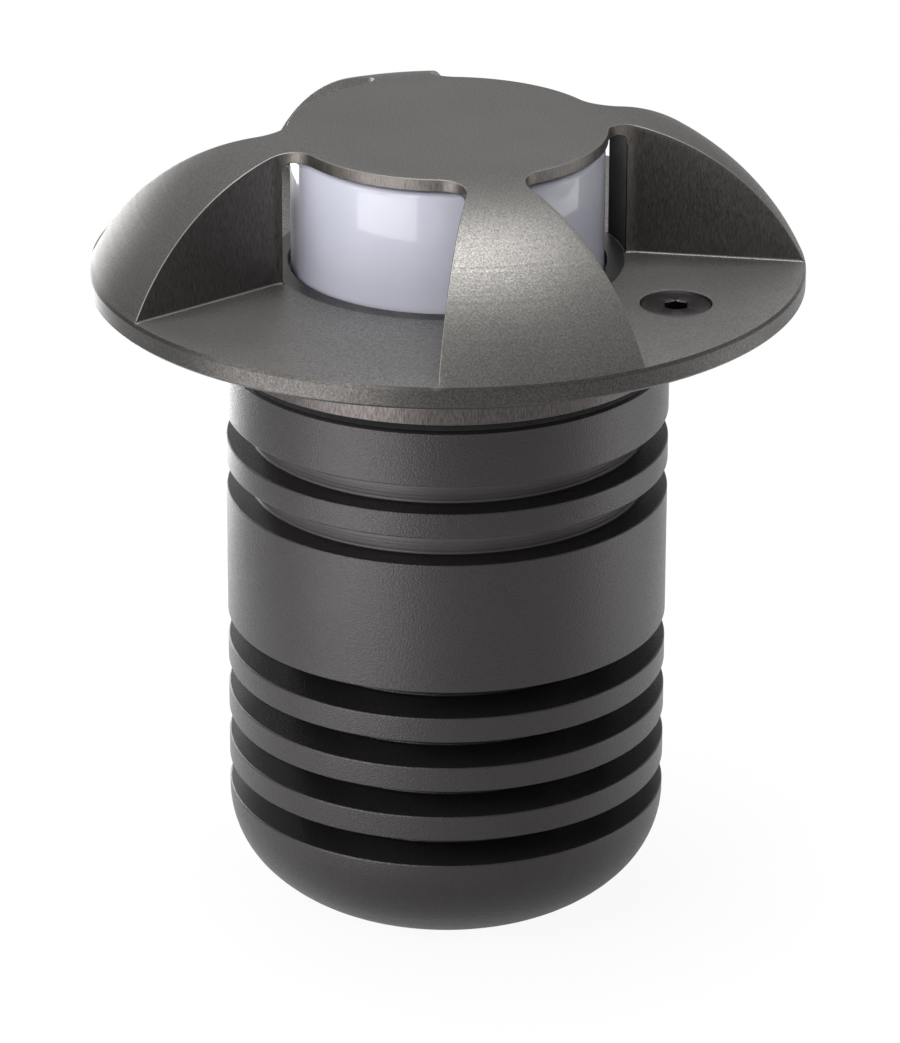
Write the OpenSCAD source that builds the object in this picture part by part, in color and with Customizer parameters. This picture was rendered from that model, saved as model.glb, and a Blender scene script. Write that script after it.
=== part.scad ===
// Recessed marker light: a domed cover with four side windows over a round, ribbed housing.
// Millimetres, +Z up, origin at the centre of the housing's flat foot.
// The pockets lie along the X and Y axes, and the two fixing screws stand in the pockets along X.

/* [Cover] */
// Diameter of the flange
cover_d = 80; // [76:1:88]
// Height of the cover above the underside of its flange
cover_h = 18; // [17:0.25:20]
// Height of the flange's upright edge
rim_h = 2.1; // [1.5:0.1:2.4]
// Diameter of the flat top, from whose edge the dome's arc runs down to the flange's edge
top_flat_d = 30.8; // [27:0.2:33]
// Thickness of the flange at the bottom of the pockets
floor_t = 2.5; // [2.5:0.1:3.5]
// Thickness of the roof over the windows
roof_t = 1.5; // [1.2:0.1:2.5]
// Diameter of the spigot under the flange
spigot_d = 51.2; // [49:0.2:53]
// Height of the spigot
spigot_h = 7.5; // [7:0.25:9]
// Small bevel along the outer edges of the cover
cover_edge = 0.3; // [0.1:0.05:0.6]

/* [Pockets] */
// Number of light windows round the cover
pocket_count = 4; // [2:2:4]
// Angle between a pocket's side wall and its centre line, in degrees
pocket_spread = 20.6; // [14:0.2:23]
// Width between a pocket's side walls where they would meet the light's axis
pocket_root_w = 11.4; // [9:0.2:13]
// Radius of a pocket's inner corners
pocket_corner_r = 3; // [1.5:0.25:4]
// How far the turned recess reaches out behind the windows' back edge
recess_depth = 2.2; // [1.5:0.1:3]
// Radius at the ceiling of the recess
recess_corner_r = 1.2; // [0.5:0.1:2]

/* [Diffuser] */
// Outside diameter of the opal cup
diffuser_d = 35; // [32:0.5:36]
// Wall of the opal cup
diffuser_t = 1.6; // [1.2:0.1:2]
// Rounding of the cup's top edge
diffuser_edge_r = 0.8; // [0.3:0.1:1.2]
// Thickness of the cup's foot flange
diffuser_foot_t = 1.6; // [1:0.1:2]
// Gap between the cup and the cover round it
diffuser_gap = 0.3; // [0.2:0.05:0.6]
// Thickness of the silicone gasket on the cup's foot
lens_gasket_t = 0.8; // [0.5:0.1:1.2]

/* [Housing] */
// Diameter of the housing
body_d = 50; // [49:0.25:52]
// Diameter of the thread between cover and housing
thread_d = 43; // [42:0.25:44]
// Thickness of the flat gasket between cover and housing
cover_gasket_t = 0.9; // [0.5:0.1:1.5]
// Height of the plain collar at the top
collar_h = 6.6; // [5:0.1:9]
// Height of the two upper grooves
upper_groove_h = 3.1; // [2:0.1:4]
// Depth of the two upper grooves
upper_groove_depth = 3; // [1:0.25:3.5]
// Height of each rib
rib_h = 3; // [2:0.1:4]
// Height of the plain band that the light is gripped by
band_h = 15.4; // [10:0.2:25]
// Number of cooling ribs under the band
fin_count = 3; // [1:1:5]
// Height of each gap between the cooling ribs
fin_gap_h = 3.05; // [2:0.05:4]
// Depth of the gaps between the cooling ribs
fin_depth = 6; // [3:0.25:6.5]
// Height of the rounded base under the last gap
base_h = 13.4; // [13:0.1:18]
// Width of the base's rounded corner
base_corner_w = 14.4; // [13.5:0.1:14.8]
// Height of the base's rounded corner
base_corner_h = 12.5; // [12:0.1:13]
// Radius of the corner where it meets the side
base_side_r = 11; // [10:0.1:11.5]
// Bevel on the collar's top edge
collar_edge = 0.4; // [0.1:0.1:0.8]
// Diameter of the cavity for the driver
cavity_d = 30; // [28:0.5:31]

/* [Fixing screws] */
// Diameter of the circle that the two screws stand on
screw_pcd = 57.6; // [57.4:0.2:62]
// Thread diameter of the screws
screw_d = 4; // [3.5:0.25:4]
// Diameter of the countersunk heads
screw_head_d = 7.6; // [7:0.2:8.2]
// Diameter of the plain neck between a screw's head and its thread
screw_neck_d = 3.3; // [2.6:0.1:3.4]
// Length of the screws over the head
screw_l = 8; // [6:1:16]
// Width across the flats of the hexagon socket
socket_af = 2.5; // [2:0.5:3]
// Depth of the hexagon socket
socket_depth = 1.6; // [1:0.1:2]
// How far the heads lie below the pocket's floor
screw_sink = 0.15; // [0.05:0.05:0.3]

/* [Light source] */
// Diameter of the LED board
led_board_d = 29; // [28:0.25:30]
// Thickness of the LED board
led_board_t = 1.6; // [1:0.1:2]
// Number of LEDs
led_count = 8; // [4:1:10]
// Side of one LED package
led_side = 2.8; // [2:0.1:3.2]
// Height of one LED package
led_h = 0.8; // [0.5:0.1:1]
// Radius of the circle that the LEDs stand on
led_ring_r = 7.2; // [6.5:0.1:7.4]
// Thickness of the pad under the LED board
thermal_pad_t = 0.5; // [0.3:0.1:0.8]
// Thickness of the LED carrier's flange
carrier_flange_t = 2.2; // [1.6:0.1:2.6]
// Height of the white reflector ring
reflector_h = 2.5; // [1.5:0.1:4]

/* [Driver] */
// Width of the driver board
driver_w = 24; // [20:0.25:27]
// Height of the driver board
driver_h = 40; // [36:0.5:48]
// Thickness of the driver board
driver_t = 1.6; // [1:0.1:2]

/* [Cable gland] */
// Diameter of the gland's thread in the base
gland_thread_d = 12; // [11:0.5:13]
// Width across the flats of the gland's hexagons
gland_af = 13; // [12:0.5:13.5]
// Outside diameter of the cable that the gland takes
cable_d = 6.5; // [5:0.1:6.6]
// Diameter of the counterbore in the base
gland_pocket_d = 16.4; // [16:0.2:18]
// Depth of the counterbore
gland_pocket_h = 7.2; // [7:0.1:8]

/* [Hidden] */
$fn = 96;

// Overrun of every cut past the faces that it opens
cut = 1;
// Radial clearance of every screw thread and close fit
fit = 0.05;
// Gap between pieces that lie side by side without touching
side_gap = 0.3;
// Distance across the corners of a hexagon over that across its flats
hex_share = 2 / sqrt(3);

// Radii
cover_r = cover_d / 2;
spigot_r = spigot_d / 2;
diffuser_r = diffuser_d / 2;
diffuser_inner_r = diffuser_r - diffuser_t;
window_r = diffuser_r + diffuser_gap;
recess_r = window_r + recess_depth;
body_r = body_d / 2;
thread_r = thread_d / 2;
neck_r = thread_r - fit;
cavity_r = cavity_d / 2;
screw_r = screw_d / 2;

// Levels in the housing, from the foot upwards
fins_top_z = base_h + fin_count * (fin_gap_h + rib_h) + fin_gap_h;
band_top_z = fins_top_z + band_h;
collar_z = band_top_z + 2 * upper_groove_h + rib_h;
housing_top_z = collar_z + collar_h;
flange_z = housing_top_z + cover_gasket_t + spigot_h;

// Cover: the dome's arc from the flat top to the flange's edge, the lip over the gasket and the
// ceiling of the recess
top_flat_r = top_flat_d / 2;
dome_drop = cover_h - rim_h;
dome_r = (pow(cover_r - top_flat_r, 2) + pow(dome_drop, 2)) / (2 * dome_drop);
lip_t = 1.5;
lip_z = flange_z + floor_t - lip_t;
floor_z = flange_z + floor_t;
ceiling_z = flange_z + cover_h - roof_t;

// Diffuser, from its foot upwards
foot_top_z = lip_z - lens_gasket_t;
foot_z = foot_top_z - diffuser_foot_t;
diffuser_top_z = ceiling_z - diffuser_gap;

// Housing: wall of the threaded neck, ledge for the LED carrier, floor of the cavity
neck_wall = 2.45;
neck_bore_r = neck_r - neck_wall;
ledge_h = 3;
ledge_z = housing_top_z + ledge_h;
base_floor_t = 6;
cavity_z = gland_pocket_h + base_floor_t;

// Rounded corner of the base: two arcs that share a tangent
base_flat_r = body_r - base_corner_w;
base_foot_r = (pow(base_corner_w - base_side_r, 2) + pow(base_corner_h, 2) - pow(base_side_r, 2))
    / (2 * (base_corner_h - base_side_r));
corner_turn = [base_corner_w - base_side_r, base_corner_h - base_foot_r];

// Light source, from the ledge upwards
carrier_boss_z = ledge_z + carrier_flange_t;
carrier_boss_h = 2.7;
pad_z = carrier_boss_z + carrier_boss_h;
led_board_z = pad_z + thermal_pad_t;
led_z = led_board_z + led_board_t;
led_board_r = led_board_d / 2;
board_screw_d = 2;
board_screw_head_d = 3.6;
board_screw_head_h = 1.2;
board_screw_l = 4;
board_screw_ring_r = 10.9;
board_screw_count = 3;
carrier_screw_d = 2;
carrier_screw_head_d = 3.6;
carrier_screw_head_h = 1.2;
carrier_screw_l = 5;
carrier_screw_ring_r = 16.9;
carrier_screw_count = 3;
reflector_foot_w = 1;
reflector_wall = 0.6;
reflector_lean = 1.2;

// Driver board between its foot and its cap, and what stands on it
holder_t = 2.5;
holder_r = cavity_r - side_gap;
holder_post_w = 4;
holder_post_d = 5;
holder_slot = 3;
cap_post_h = 3.6;
driver_top_z = ledge_z - holder_t - cap_post_h + holder_slot;
driver_z = driver_top_z - driver_h;
foot_post_h = driver_z + holder_slot - cavity_z - holder_t;
holder_inner_r = 8;
capacitor_d = 8;
capacitor_h = 9;
capacitor_x = 5;
capacitor_up = 26;
choke_d = 9;
choke_core_d = 5;
choke_h = 6;
choke_rim_t = 1;
choke_up = 13;
chip_sizes = [[8, 2.4, 6.5], [5, 1.6, 4], [6.2, 2.2, 6.2]];
chip_place_shares = [[-0.15, 0.75], [0.19, 0.68], [0, 0.35]];
terminal_w = 10;
terminal_d = 7.5;
terminal_h = 8.5;
terminal_up = 1;
terminal_screw_d = 3;
terminal_screw_h = 1.4;
terminal_slot_w = 0.5;
terminal_pitch = 5;
terminal_hole_d = 2.6;
lead_d = 1.2;
lead_pitch = 2.6;
lead_overlap = 6;
lead_hole_d = 5;
lead_y = driver_t / 2 + lead_d / 2 + fit;
connector_d = 4;
connector_h = 1.6;

// Gland in the base, from the foot upwards
gland_r = gland_thread_d / 2 - fit;
gland_nut_z = 0.5;
gland_nut_h = 3.8;
gland_lip_t = 0.9;
gland_flange_t = 2;
gland_washer_t = 0.8;
gland_washer_z = gland_pocket_h - gland_washer_t;
gland_flange_z = gland_washer_z - gland_flange_t;
gland_neck_r = 5.3;
gland_neck_gap = 0.4;
gland_seal_r = 4.5;
gland_seal_h = 3;
gland_bore_gap = 0.1;
gland_bore_r = cable_d / 2 + gland_bore_gap;
gland_end = 1.2;

// Mounting screws: countersink in the flange
screw_hole_gap = 0.2;
screw_relief = 0.8;
screw_hole_r = screw_r + screw_hole_gap;
screw_top_z = floor_z - screw_sink;
screw_neck_r = screw_neck_d / 2;
screw_cone_h = screw_head_d / 2 - screw_neck_r;
screw_thread_z = flange_z - screw_relief;
screw_end_z = screw_top_z - screw_l;
sink_r = screw_head_d / 2 + screw_sink + fit;
sink_h = sink_r - screw_hole_r;
screw_tip = 0.4;

// Places children at equal angles on a circle
module on_circle(count, r, start = 0) {
    for (i = [0 : count - 1])
        rotate([0, 0, start + i * 360 / count])
            translate([r, 0, 0])
                children();
}

// Flat ring that stands on z = 0
module ring(outer_r, inner_r, h) {
    difference() {
        cylinder(r = outer_r, h = h);
        translate([0, 0, -cut])
            cylinder(r = inner_r, h = h + 2 * cut);
    }
}

// Rectangle whose far top corner is an arc
module round_topped(w, h, r) {
    square([w - r, h]);
    square([w, h - r]);
    translate([w - r, h - r])
        circle(r);
}

// Cap screw that stands on z = 0 with its head above and its thread below
module cap_screw(d, head_d, head_h, l, slot_w, slot_depth) {
    difference() {
        cylinder(d = head_d, h = head_h);
        translate([-head_d, -slot_w / 2, head_h - slot_depth])
            cube([2 * head_d, slot_w, slot_depth + cut]);
    }
    translate([0, 0, -l])
        cylinder(d = d - 2 * fit, h = l);
}

// Half section of the dome and flange, standing on the flange's underside
module dome_section() {
    difference() {
        intersection() {
            union() {
                translate([top_flat_r, cover_h - dome_r])
                    circle(dome_r, $fn = 4 * $fn);
                square([top_flat_r, cover_h]);
            }
            square([cover_r, cover_h]);
        }
        polygon([[cover_r - cover_edge, 0], [cover_r - cover_edge, -cut], [cover_r + cut, -cut],
            [cover_r + cut, cover_edge], [cover_r, cover_edge]]);
    }
}

// Half section of everything bored out of the cover, from the housing's thread to the ceiling
module cover_bore_section() {
    translate([0, -spigot_h - cut])
        square([thread_r, spigot_h + floor_t - lip_t + cut]);
    square([window_r, floor_t + cut]);
    translate([0, floor_t])
        round_topped(recess_r, cover_h - roof_t - floor_t, recess_corner_r);
}

// Centre of the arc in a pocket's inner corner, in a frame whose X is the pocket's centre line:
// the point on the side wall's parallel, through [0, root_y], that lies at a distance of reach
function corner_arc_centre(root_y, slope, reach) =
    let (x = (sqrt(pow(reach, 2) * (1 + pow(slope, 2)) - pow(root_y, 2)) - root_y * slope)
        / (1 + pow(slope, 2)))
    [x, root_y + x * slope];

// Plan of one pocket: side walls that open outwards, a round back wall and round inner corners
module pocket_plan() {
    reach = cover_r + cut;
    slope = tan(pocket_spread);
    wall_y = pocket_root_w / 2;
    centre = corner_arc_centre(wall_y - pocket_corner_r / cos(pocket_spread), slope,
        window_r + pocket_corner_r);
    ray_end = centre * reach / centre[0];
    to_wall = 2 * pocket_corner_r * [-sin(pocket_spread), cos(pocket_spread)];
    to_back = -2 * pocket_corner_r * centre / norm(centre);
    difference() {
        polygon([[0, 0], [ray_end[0], -ray_end[1]], ray_end]);
        circle(window_r);
    }
    for (side = [0, 1])
        mirror([0, side]) {
            polygon([centre, ray_end, [reach, wall_y + reach * slope], centre + to_wall / 2]);
            intersection() {
                translate(centre)
                    circle(pocket_corner_r);
                polygon([centre, centre + to_wall, centre + to_wall + to_back, centre + to_back]);
            }
        }
}

// Countersunk hole for one mounting screw, its axis on Z and the pocket's floor at z = 0
module countersink() {
    translate([0, 0, -floor_t - cut])
        cylinder(r = screw_hole_r, h = floor_t + cut);
    translate([0, 0, -sink_h])
        cylinder(r1 = screw_hole_r, r2 = sink_r + cut, h = sink_h + cut);
}

// Domed cover: turned outside and inside, then four pockets milled in from the edge, which break
// into the turned recess as windows and leave four fins between them
module top_cover() {
    color("#5a5856")
    difference() {
        translate([0, 0, flange_z])
            rotate_extrude()
                difference() {
                    union() {
                        dome_section();
                        translate([0, -spigot_h])
                            square([spigot_r, spigot_h + rim_h]);
                    }
                    cover_bore_section();
                }
        translate([0, 0, floor_z])
            for (i = [0 : pocket_count - 1])
                rotate([0, 0, i * 360 / pocket_count])
                    linear_extrude(height = cover_h)
                        pocket_plan();
        translate([0, 0, floor_z])
            on_circle(2, screw_pcd / 2)
                countersink();
    }
}

// Two countersunk screws with hexagon sockets
module flange_screws() {
    color("#2c2c2e")
    on_circle(2, screw_pcd / 2)
        difference() {
            rotate_extrude()
                polygon([[0, screw_end_z], [screw_r - screw_tip, screw_end_z],
                    [screw_r, screw_end_z + screw_tip], [screw_r, screw_thread_z],
                    [screw_neck_r, screw_thread_z], [screw_neck_r, screw_top_z - screw_cone_h],
                    [screw_head_d / 2, screw_top_z], [0, screw_top_z]]);
            translate([0, 0, screw_top_z - socket_depth])
                cylinder(d = socket_af * hex_share, h = socket_depth + cut, $fn = 6);
        }
}

// Opal cup with a closed top and a foot flange
module diffuser() {
    color("#d5d8e2")
    translate([0, 0, foot_z])
        rotate_extrude()
            difference() {
                union() {
                    round_topped(diffuser_r, diffuser_top_z - foot_z, diffuser_edge_r);
                    square([neck_r - side_gap, diffuser_foot_t]);
                }
                translate([0, -cut])
                    round_topped(diffuser_inner_r, diffuser_top_z - foot_z - diffuser_t + cut,
                        diffuser_edge_r);
            }
}

// Silicone gasket between the cup's foot and the cover
module diffuser_gasket() {
    color("#e6e3dc")
    translate([0, 0, foot_top_z])
        ring(neck_r - side_gap, diffuser_r + diffuser_gap, lens_gasket_t);
}

// Flat black gasket between the cover's spigot and the housing
module cover_gasket() {
    color("#151516")
    translate([0, 0, housing_top_z])
        ring(body_r - fit, thread_r, cover_gasket_t);
}

// Rounded lower end of the housing as a half section
module base_section() {
    side_centre = [base_flat_r + corner_turn[0], base_corner_h];
    foot_centre = [base_flat_r, base_foot_r];
    far = 2 * base_foot_r;
    square([base_flat_r, base_corner_h]);
    intersection() {
        union() {
            translate(side_centre)
                circle(base_side_r);
            intersection() {
                translate(foot_centre)
                    circle(base_foot_r);
                polygon([foot_centre, foot_centre - [0, far],
                    foot_centre + far * corner_turn / norm(corner_turn)]);
            }
        }
        square([body_r, base_corner_h]);
    }
}

// Outside of the housing as a half section, with its bands, ribs and grooves
module housing_outline() {
    core_r = body_r - fin_depth;
    groove_r = body_r - upper_groove_depth;
    base_section();
    translate([0, base_corner_h])
        square([body_r, base_h - base_corner_h]);
    translate([0, base_corner_h])
        square([core_r, fins_top_z - base_corner_h]);
    for (i = [1 : fin_count])
        translate([0, base_h + i * fin_gap_h + (i - 1) * rib_h])
            square([body_r, rib_h]);
    translate([0, fins_top_z])
        square([body_r, band_h]);
    translate([0, band_top_z])
        square([groove_r, collar_z - band_top_z]);
    translate([0, band_top_z + upper_groove_h])
        square([body_r, rib_h]);
    translate([0, collar_z])
        polygon([[0, 0], [body_r, 0], [body_r, collar_h - collar_edge],
            [body_r - collar_edge, collar_h], [0, collar_h]]);
    translate([0, housing_top_z])
        square([neck_r, foot_z - housing_top_z]);
}

// One-piece aluminium housing with a threaded neck, a driver cavity and a threaded cable entry
module housing() {
    color("#4a4a4b")
    difference() {
        rotate_extrude()
            difference() {
                housing_outline();
                translate([0, cavity_z])
                    square([cavity_r, foot_z - cavity_z + cut]);
                translate([0, ledge_z])
                    square([neck_bore_r, foot_z - ledge_z + cut]);
                translate([0, -cut])
                    square([gland_thread_d / 2, cavity_z + 2 * cut]);
                translate([0, -cut])
                    square([gland_pocket_d / 2, gland_pocket_h + cut]);
            }
        translate([0, 0, ledge_z])
            on_circle(carrier_screw_count, carrier_screw_ring_r)
                translate([0, 0, -carrier_screw_l])
                    cylinder(d = carrier_screw_d, h = carrier_screw_l + cut);
    }
}

// Aluminium-backed LED board with its screw holes
module led_board() {
    color("#f2f2ee")
    translate([0, 0, led_board_z])
        difference() {
            cylinder(r = led_board_r, h = led_board_t);
            on_circle(board_screw_count, board_screw_ring_r)
                translate([0, 0, -cut])
                    cylinder(r = board_screw_d / 2 + screw_hole_gap, h = led_board_t + 2 * cut);
            translate([0, 0, -cut])
                linear_extrude(height = led_board_t + 2 * cut)
                    lead_slot();
        }
}

// Plan of the opening that both hook-up leads rise through
module lead_slot() {
    translate([0, lead_y])
        circle(d = lead_hole_d);
}

// Surface-mounted LEDs on the board
module leds() {
    color("#f3d35a")
    translate([0, 0, led_z])
        on_circle(led_count, led_ring_r, 180 / led_count)
            translate([-led_side / 2, -led_side / 2, 0])
                cube([led_side, led_side, led_h]);
}

// Small plug at the middle of the board, where the hook-up leads end
module led_connector() {
    color("#ece8da")
    translate([-lead_hole_d, lead_y - connector_d / 2, led_z])
        cube([2 * lead_hole_d, connector_d, connector_h]);
}

// Screws that press the LED board on its pad
module led_board_screws() {
    color("#b9bbbd")
    translate([0, 0, led_z])
        on_circle(board_screw_count, board_screw_ring_r)
            cap_screw(board_screw_d, board_screw_head_d, board_screw_head_h, board_screw_l,
                terminal_slot_w, board_screw_head_h / 2);
}

// White funnel ring round the LEDs
module reflector() {
    color("#fafafa")
    translate([0, 0, led_z])
        rotate_extrude()
            polygon([[led_board_r - reflector_foot_w, 0], [led_board_r, 0],
                [led_board_r, reflector_h / 2],
                [led_board_r - reflector_foot_w + reflector_lean + reflector_wall, reflector_h],
                [led_board_r - reflector_foot_w + reflector_lean, reflector_h]]);
}

// Heat-conducting pad between the LED board and the carrier
module thermal_pad() {
    color("#8fb3c9")
    translate([0, 0, pad_z])
        difference() {
            cylinder(r = led_board_r, h = thermal_pad_t);
            on_circle(board_screw_count, board_screw_ring_r)
                translate([0, 0, -cut])
                    cylinder(r = board_screw_d / 2 + screw_hole_gap, h = thermal_pad_t + 2 * cut);
            translate([0, 0, -cut])
                linear_extrude(height = thermal_pad_t + 2 * cut)
                    lead_slot();
        }
}

// Aluminium carrier that takes the LEDs' heat to the housing
module led_carrier() {
    color("#c4c6c8")
    difference() {
        union() {
            translate([0, 0, ledge_z])
                cylinder(r = neck_bore_r - fit, h = carrier_flange_t);
            translate([0, 0, carrier_boss_z])
                cylinder(r = led_board_r, h = carrier_boss_h);
        }
        translate([0, 0, led_z])
            on_circle(board_screw_count, board_screw_ring_r)
                translate([0, 0, -board_screw_l])
                    cylinder(d = board_screw_d, h = board_screw_l + cut);
        translate([0, 0, ledge_z - cut])
            on_circle(carrier_screw_count, carrier_screw_ring_r)
                cylinder(r = carrier_screw_d / 2 + screw_hole_gap, h = carrier_flange_t + 2 * cut);
        translate([0, 0, ledge_z - cut])
            linear_extrude(height = carrier_flange_t + carrier_boss_h + 2 * cut)
                lead_slot();
    }
}

// Screws that hold the carrier on the housing's ledge
module carrier_screws() {
    color("#b9bbbd")
    translate([0, 0, carrier_boss_z])
        on_circle(carrier_screw_count, carrier_screw_ring_r)
            cap_screw(carrier_screw_d, carrier_screw_head_d, carrier_screw_head_h, carrier_screw_l,
                terminal_slot_w, carrier_screw_head_h / 2);
}

// Upright driver board
module driver_board() {
    color("#1f6b46")
    translate([-driver_w / 2, -driver_t / 2, driver_z])
        cube([driver_w, driver_t, driver_h]);
}

// Posts of a board holder that grip the board's two edges, rising from z = 0
module holder_posts(h, slot_from) {
    difference() {
        for (side = [-1, 1])
            translate([side * (driver_w / 2 - holder_post_w / 2) - holder_post_w / 2,
                -holder_post_d / 2, 0])
                cube([holder_post_w, holder_post_d, h]);
        translate([-driver_w / 2 - fit, -driver_t / 2 - fit, slot_from])
            cube([driver_w + 2 * fit, driver_t + 2 * fit, holder_slot + cut]);
    }
}

// Plastic foot that carries the driver board over the cable entry
module board_foot() {
    color("#e9e7e0")
    translate([0, 0, cavity_z]) {
        ring(holder_r, holder_inner_r, holder_t);
        intersection() {
            translate([0, 0, holder_t])
                holder_posts(foot_post_h, foot_post_h - holder_slot);
            cylinder(r = holder_r, h = holder_t + foot_post_h);
        }
    }
}

// Plastic cap that keeps the driver board upright under the LED carrier
module board_cap() {
    color("#e9e7e0")
    translate([0, 0, ledge_z])
        mirror([0, 0, 1]) {
            ring(holder_r, holder_inner_r, holder_t);
            intersection() {
                translate([0, 0, holder_t])
                    holder_posts(cap_post_h, cap_post_h - holder_slot);
                cylinder(r = holder_r, h = holder_t + cap_post_h);
            }
        }
}

// Two smoothing capacitors that stand off the board's front
module capacitors() {
    color("#2b3f6e")
    for (side = [-1, 1])
        translate([side * capacitor_x, driver_t / 2, driver_z + capacitor_up])
            rotate([-90, 0, 0])
                cylinder(d = capacitor_d, h = capacitor_h);
}

// Drum-wound choke between two rims
module choke() {
    color("#3a3532")
    translate([0, driver_t / 2, driver_z + choke_up])
        rotate([-90, 0, 0]) {
            cylinder(d = choke_d, h = choke_rim_t);
            cylinder(d = choke_core_d, h = choke_h);
            translate([0, 0, choke_h - choke_rim_t])
                cylinder(d = choke_d, h = choke_rim_t);
        }
}

// Flat packages on the board's back
module driver_chips() {
    color("#232325")
    for (i = [0 : len(chip_sizes) - 1])
        translate([chip_place_shares[i][0] * driver_w - chip_sizes[i][0] / 2,
            -driver_t / 2 - chip_sizes[i][1], driver_z + chip_place_shares[i][1] * driver_h])
            cube(chip_sizes[i]);
}

// Two-way terminal block at the board's lower end
module terminal_block() {
    color("#3f7f5a")
    translate([0, driver_t / 2, driver_z + terminal_up])
        difference() {
            translate([-terminal_w / 2, 0, 0])
                cube([terminal_w, terminal_d, terminal_h]);
            for (side = [-1, 1])
                translate([side * terminal_pitch / 2, terminal_d / 2, -cut])
                    cylinder(d = terminal_hole_d, h = terminal_h / 2 + cut);
            for (side = [-1, 1])
                translate([side * terminal_pitch / 2, terminal_d + cut, terminal_h / 2])
                    rotate([90, 0, 0])
                        cylinder(r = terminal_screw_d / 2 + fit, h = terminal_screw_h + cut);
        }
}

// Clamping screws of the terminal block
module terminal_screws() {
    color("#c9c9c4")
    for (side = [-1, 1])
        translate([side * terminal_pitch / 2, driver_t / 2 + terminal_d,
            driver_z + terminal_up + terminal_h / 2])
            rotate([90, 0, 0])
                difference() {
                    cylinder(d = terminal_screw_d, h = terminal_screw_h);
                    translate([-terminal_screw_d, -terminal_slot_w / 2, -cut])
                        cube([2 * terminal_screw_d, terminal_slot_w, terminal_screw_h / 2 + cut]);
                }
}

// Two leads from the driver board up to the LED board's connector
module hookup_leads() {
    color("#b8322c")
    for (side = [-1, 1])
        translate([side * lead_pitch / 2, lead_y, driver_top_z - lead_overlap])
            cylinder(d = lead_d, h = led_z - driver_top_z + lead_overlap);
}

// Hexagonal prism, measured across its flats
module hex_prism(af, h) {
    cylinder(d = af * hex_share, h = h, $fn = 6);
}

// Gland body: hexagon, thread into the base and a neck that takes the seal
module gland_body() {
    color("#b7b2a2")
    difference() {
        union() {
            translate([0, 0, gland_flange_z])
                hex_prism(gland_af, gland_flange_t);
            translate([0, 0, gland_washer_z])
                cylinder(r = gland_r, h = cavity_z + gland_end - gland_washer_z);
            translate([0, 0, gland_nut_z + gland_lip_t + gland_neck_gap])
                cylinder(r = gland_neck_r,
                    h = gland_flange_z - gland_nut_z - gland_lip_t - gland_neck_gap);
        }
        cylinder(r = gland_bore_r, h = cavity_z + gland_end + cut);
        cylinder(r = gland_seal_r + fit, h = gland_nut_z + gland_lip_t + gland_seal_h);
    }
}

// Sealing washer between the gland's hexagon and the base
module gland_washer() {
    color("#1a1a1b")
    translate([0, 0, gland_washer_z])
        ring(gland_af / 2, gland_thread_d / 2, gland_washer_t);
}

// Rubber sleeve that grips the cable
module gland_seal() {
    color("#222223")
    translate([0, 0, gland_nut_z + gland_lip_t])
        ring(gland_seal_r, gland_bore_r, gland_seal_h);
}

// Hexagonal nut that squeezes the seal
module gland_nut() {
    color("#b7b2a2")
    difference() {
        translate([0, 0, gland_nut_z])
            hex_prism(gland_af, gland_nut_h);
        cylinder(r = gland_bore_r, h = gland_nut_z + gland_nut_h + cut);
        translate([0, 0, gland_nut_z + gland_lip_t])
            cylinder(r = gland_neck_r + fit, h = gland_nut_h);
    }
}

top_cover();
flange_screws();
diffuser();
diffuser_gasket();
cover_gasket();
housing();
led_board();
leds();
led_connector();
led_board_screws();
reflector();
thermal_pad();
led_carrier();
carrier_screws();
driver_board();
board_cap();
board_foot();
capacitors();
choke();
driver_chips();
terminal_block();
terminal_screws();
hookup_leads();
gland_body();
gland_washer();
gland_seal();
gland_nut();
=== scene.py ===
"""Recessed ground light: the looks of every piece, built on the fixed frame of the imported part."""
import logging
from dataclasses import dataclass, replace
from enum import Enum
from math import cos, pi, radians, sin, tan

import bmesh
import bpy
import numpy as np
from mathutils import Matrix, Vector


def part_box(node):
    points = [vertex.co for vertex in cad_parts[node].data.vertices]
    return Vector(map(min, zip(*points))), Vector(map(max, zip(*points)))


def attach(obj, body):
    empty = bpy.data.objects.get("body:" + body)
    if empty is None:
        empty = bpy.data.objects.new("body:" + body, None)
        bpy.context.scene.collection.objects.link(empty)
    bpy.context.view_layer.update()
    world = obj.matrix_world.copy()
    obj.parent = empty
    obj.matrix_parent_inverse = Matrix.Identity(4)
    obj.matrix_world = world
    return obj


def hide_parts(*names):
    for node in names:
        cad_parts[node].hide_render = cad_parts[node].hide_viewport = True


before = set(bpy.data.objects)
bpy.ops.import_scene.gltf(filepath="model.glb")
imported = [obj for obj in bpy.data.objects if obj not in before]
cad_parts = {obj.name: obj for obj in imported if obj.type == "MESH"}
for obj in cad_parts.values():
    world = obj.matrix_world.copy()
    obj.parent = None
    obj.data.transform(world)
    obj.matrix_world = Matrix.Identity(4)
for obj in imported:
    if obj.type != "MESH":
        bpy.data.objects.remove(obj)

LOG = logging.getLogger("recessed_light")
MM = 0.001
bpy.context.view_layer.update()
# Angle between the middles of a pocket and of a fin.
FIN_ANGLE = pi / 4
DOWN = np.array([0.0, 0.0, -1.0])
# Length below which a divisor counts as zero.
TINY = 1e-9
# Points closer than WELD_M merge, edges shorter than SLIVER_M go, and a bend of SHARP_FROM stays sharp.
WELD_M = 3e-7
SLIVER_M = 1e-8
SHARP_FROM = radians(32)
# Steps of a full turn, and of the rulings between a grid and a hole in it.
TURN_STEPS = 208
RULING_STEPS = 4
# Rounding of a rubber or silicone ring's edges, in millimetres.
SEAL_EDGE = 0.15

# Radius from the axis, height and rounding radius of each corner of a half section, in millimetres.
Corners = list[tuple[float, float, float]]
Materials = list[bpy.types.Material]
Tree = bpy.types.NodeTree
Socket = bpy.types.NodeSocket


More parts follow.
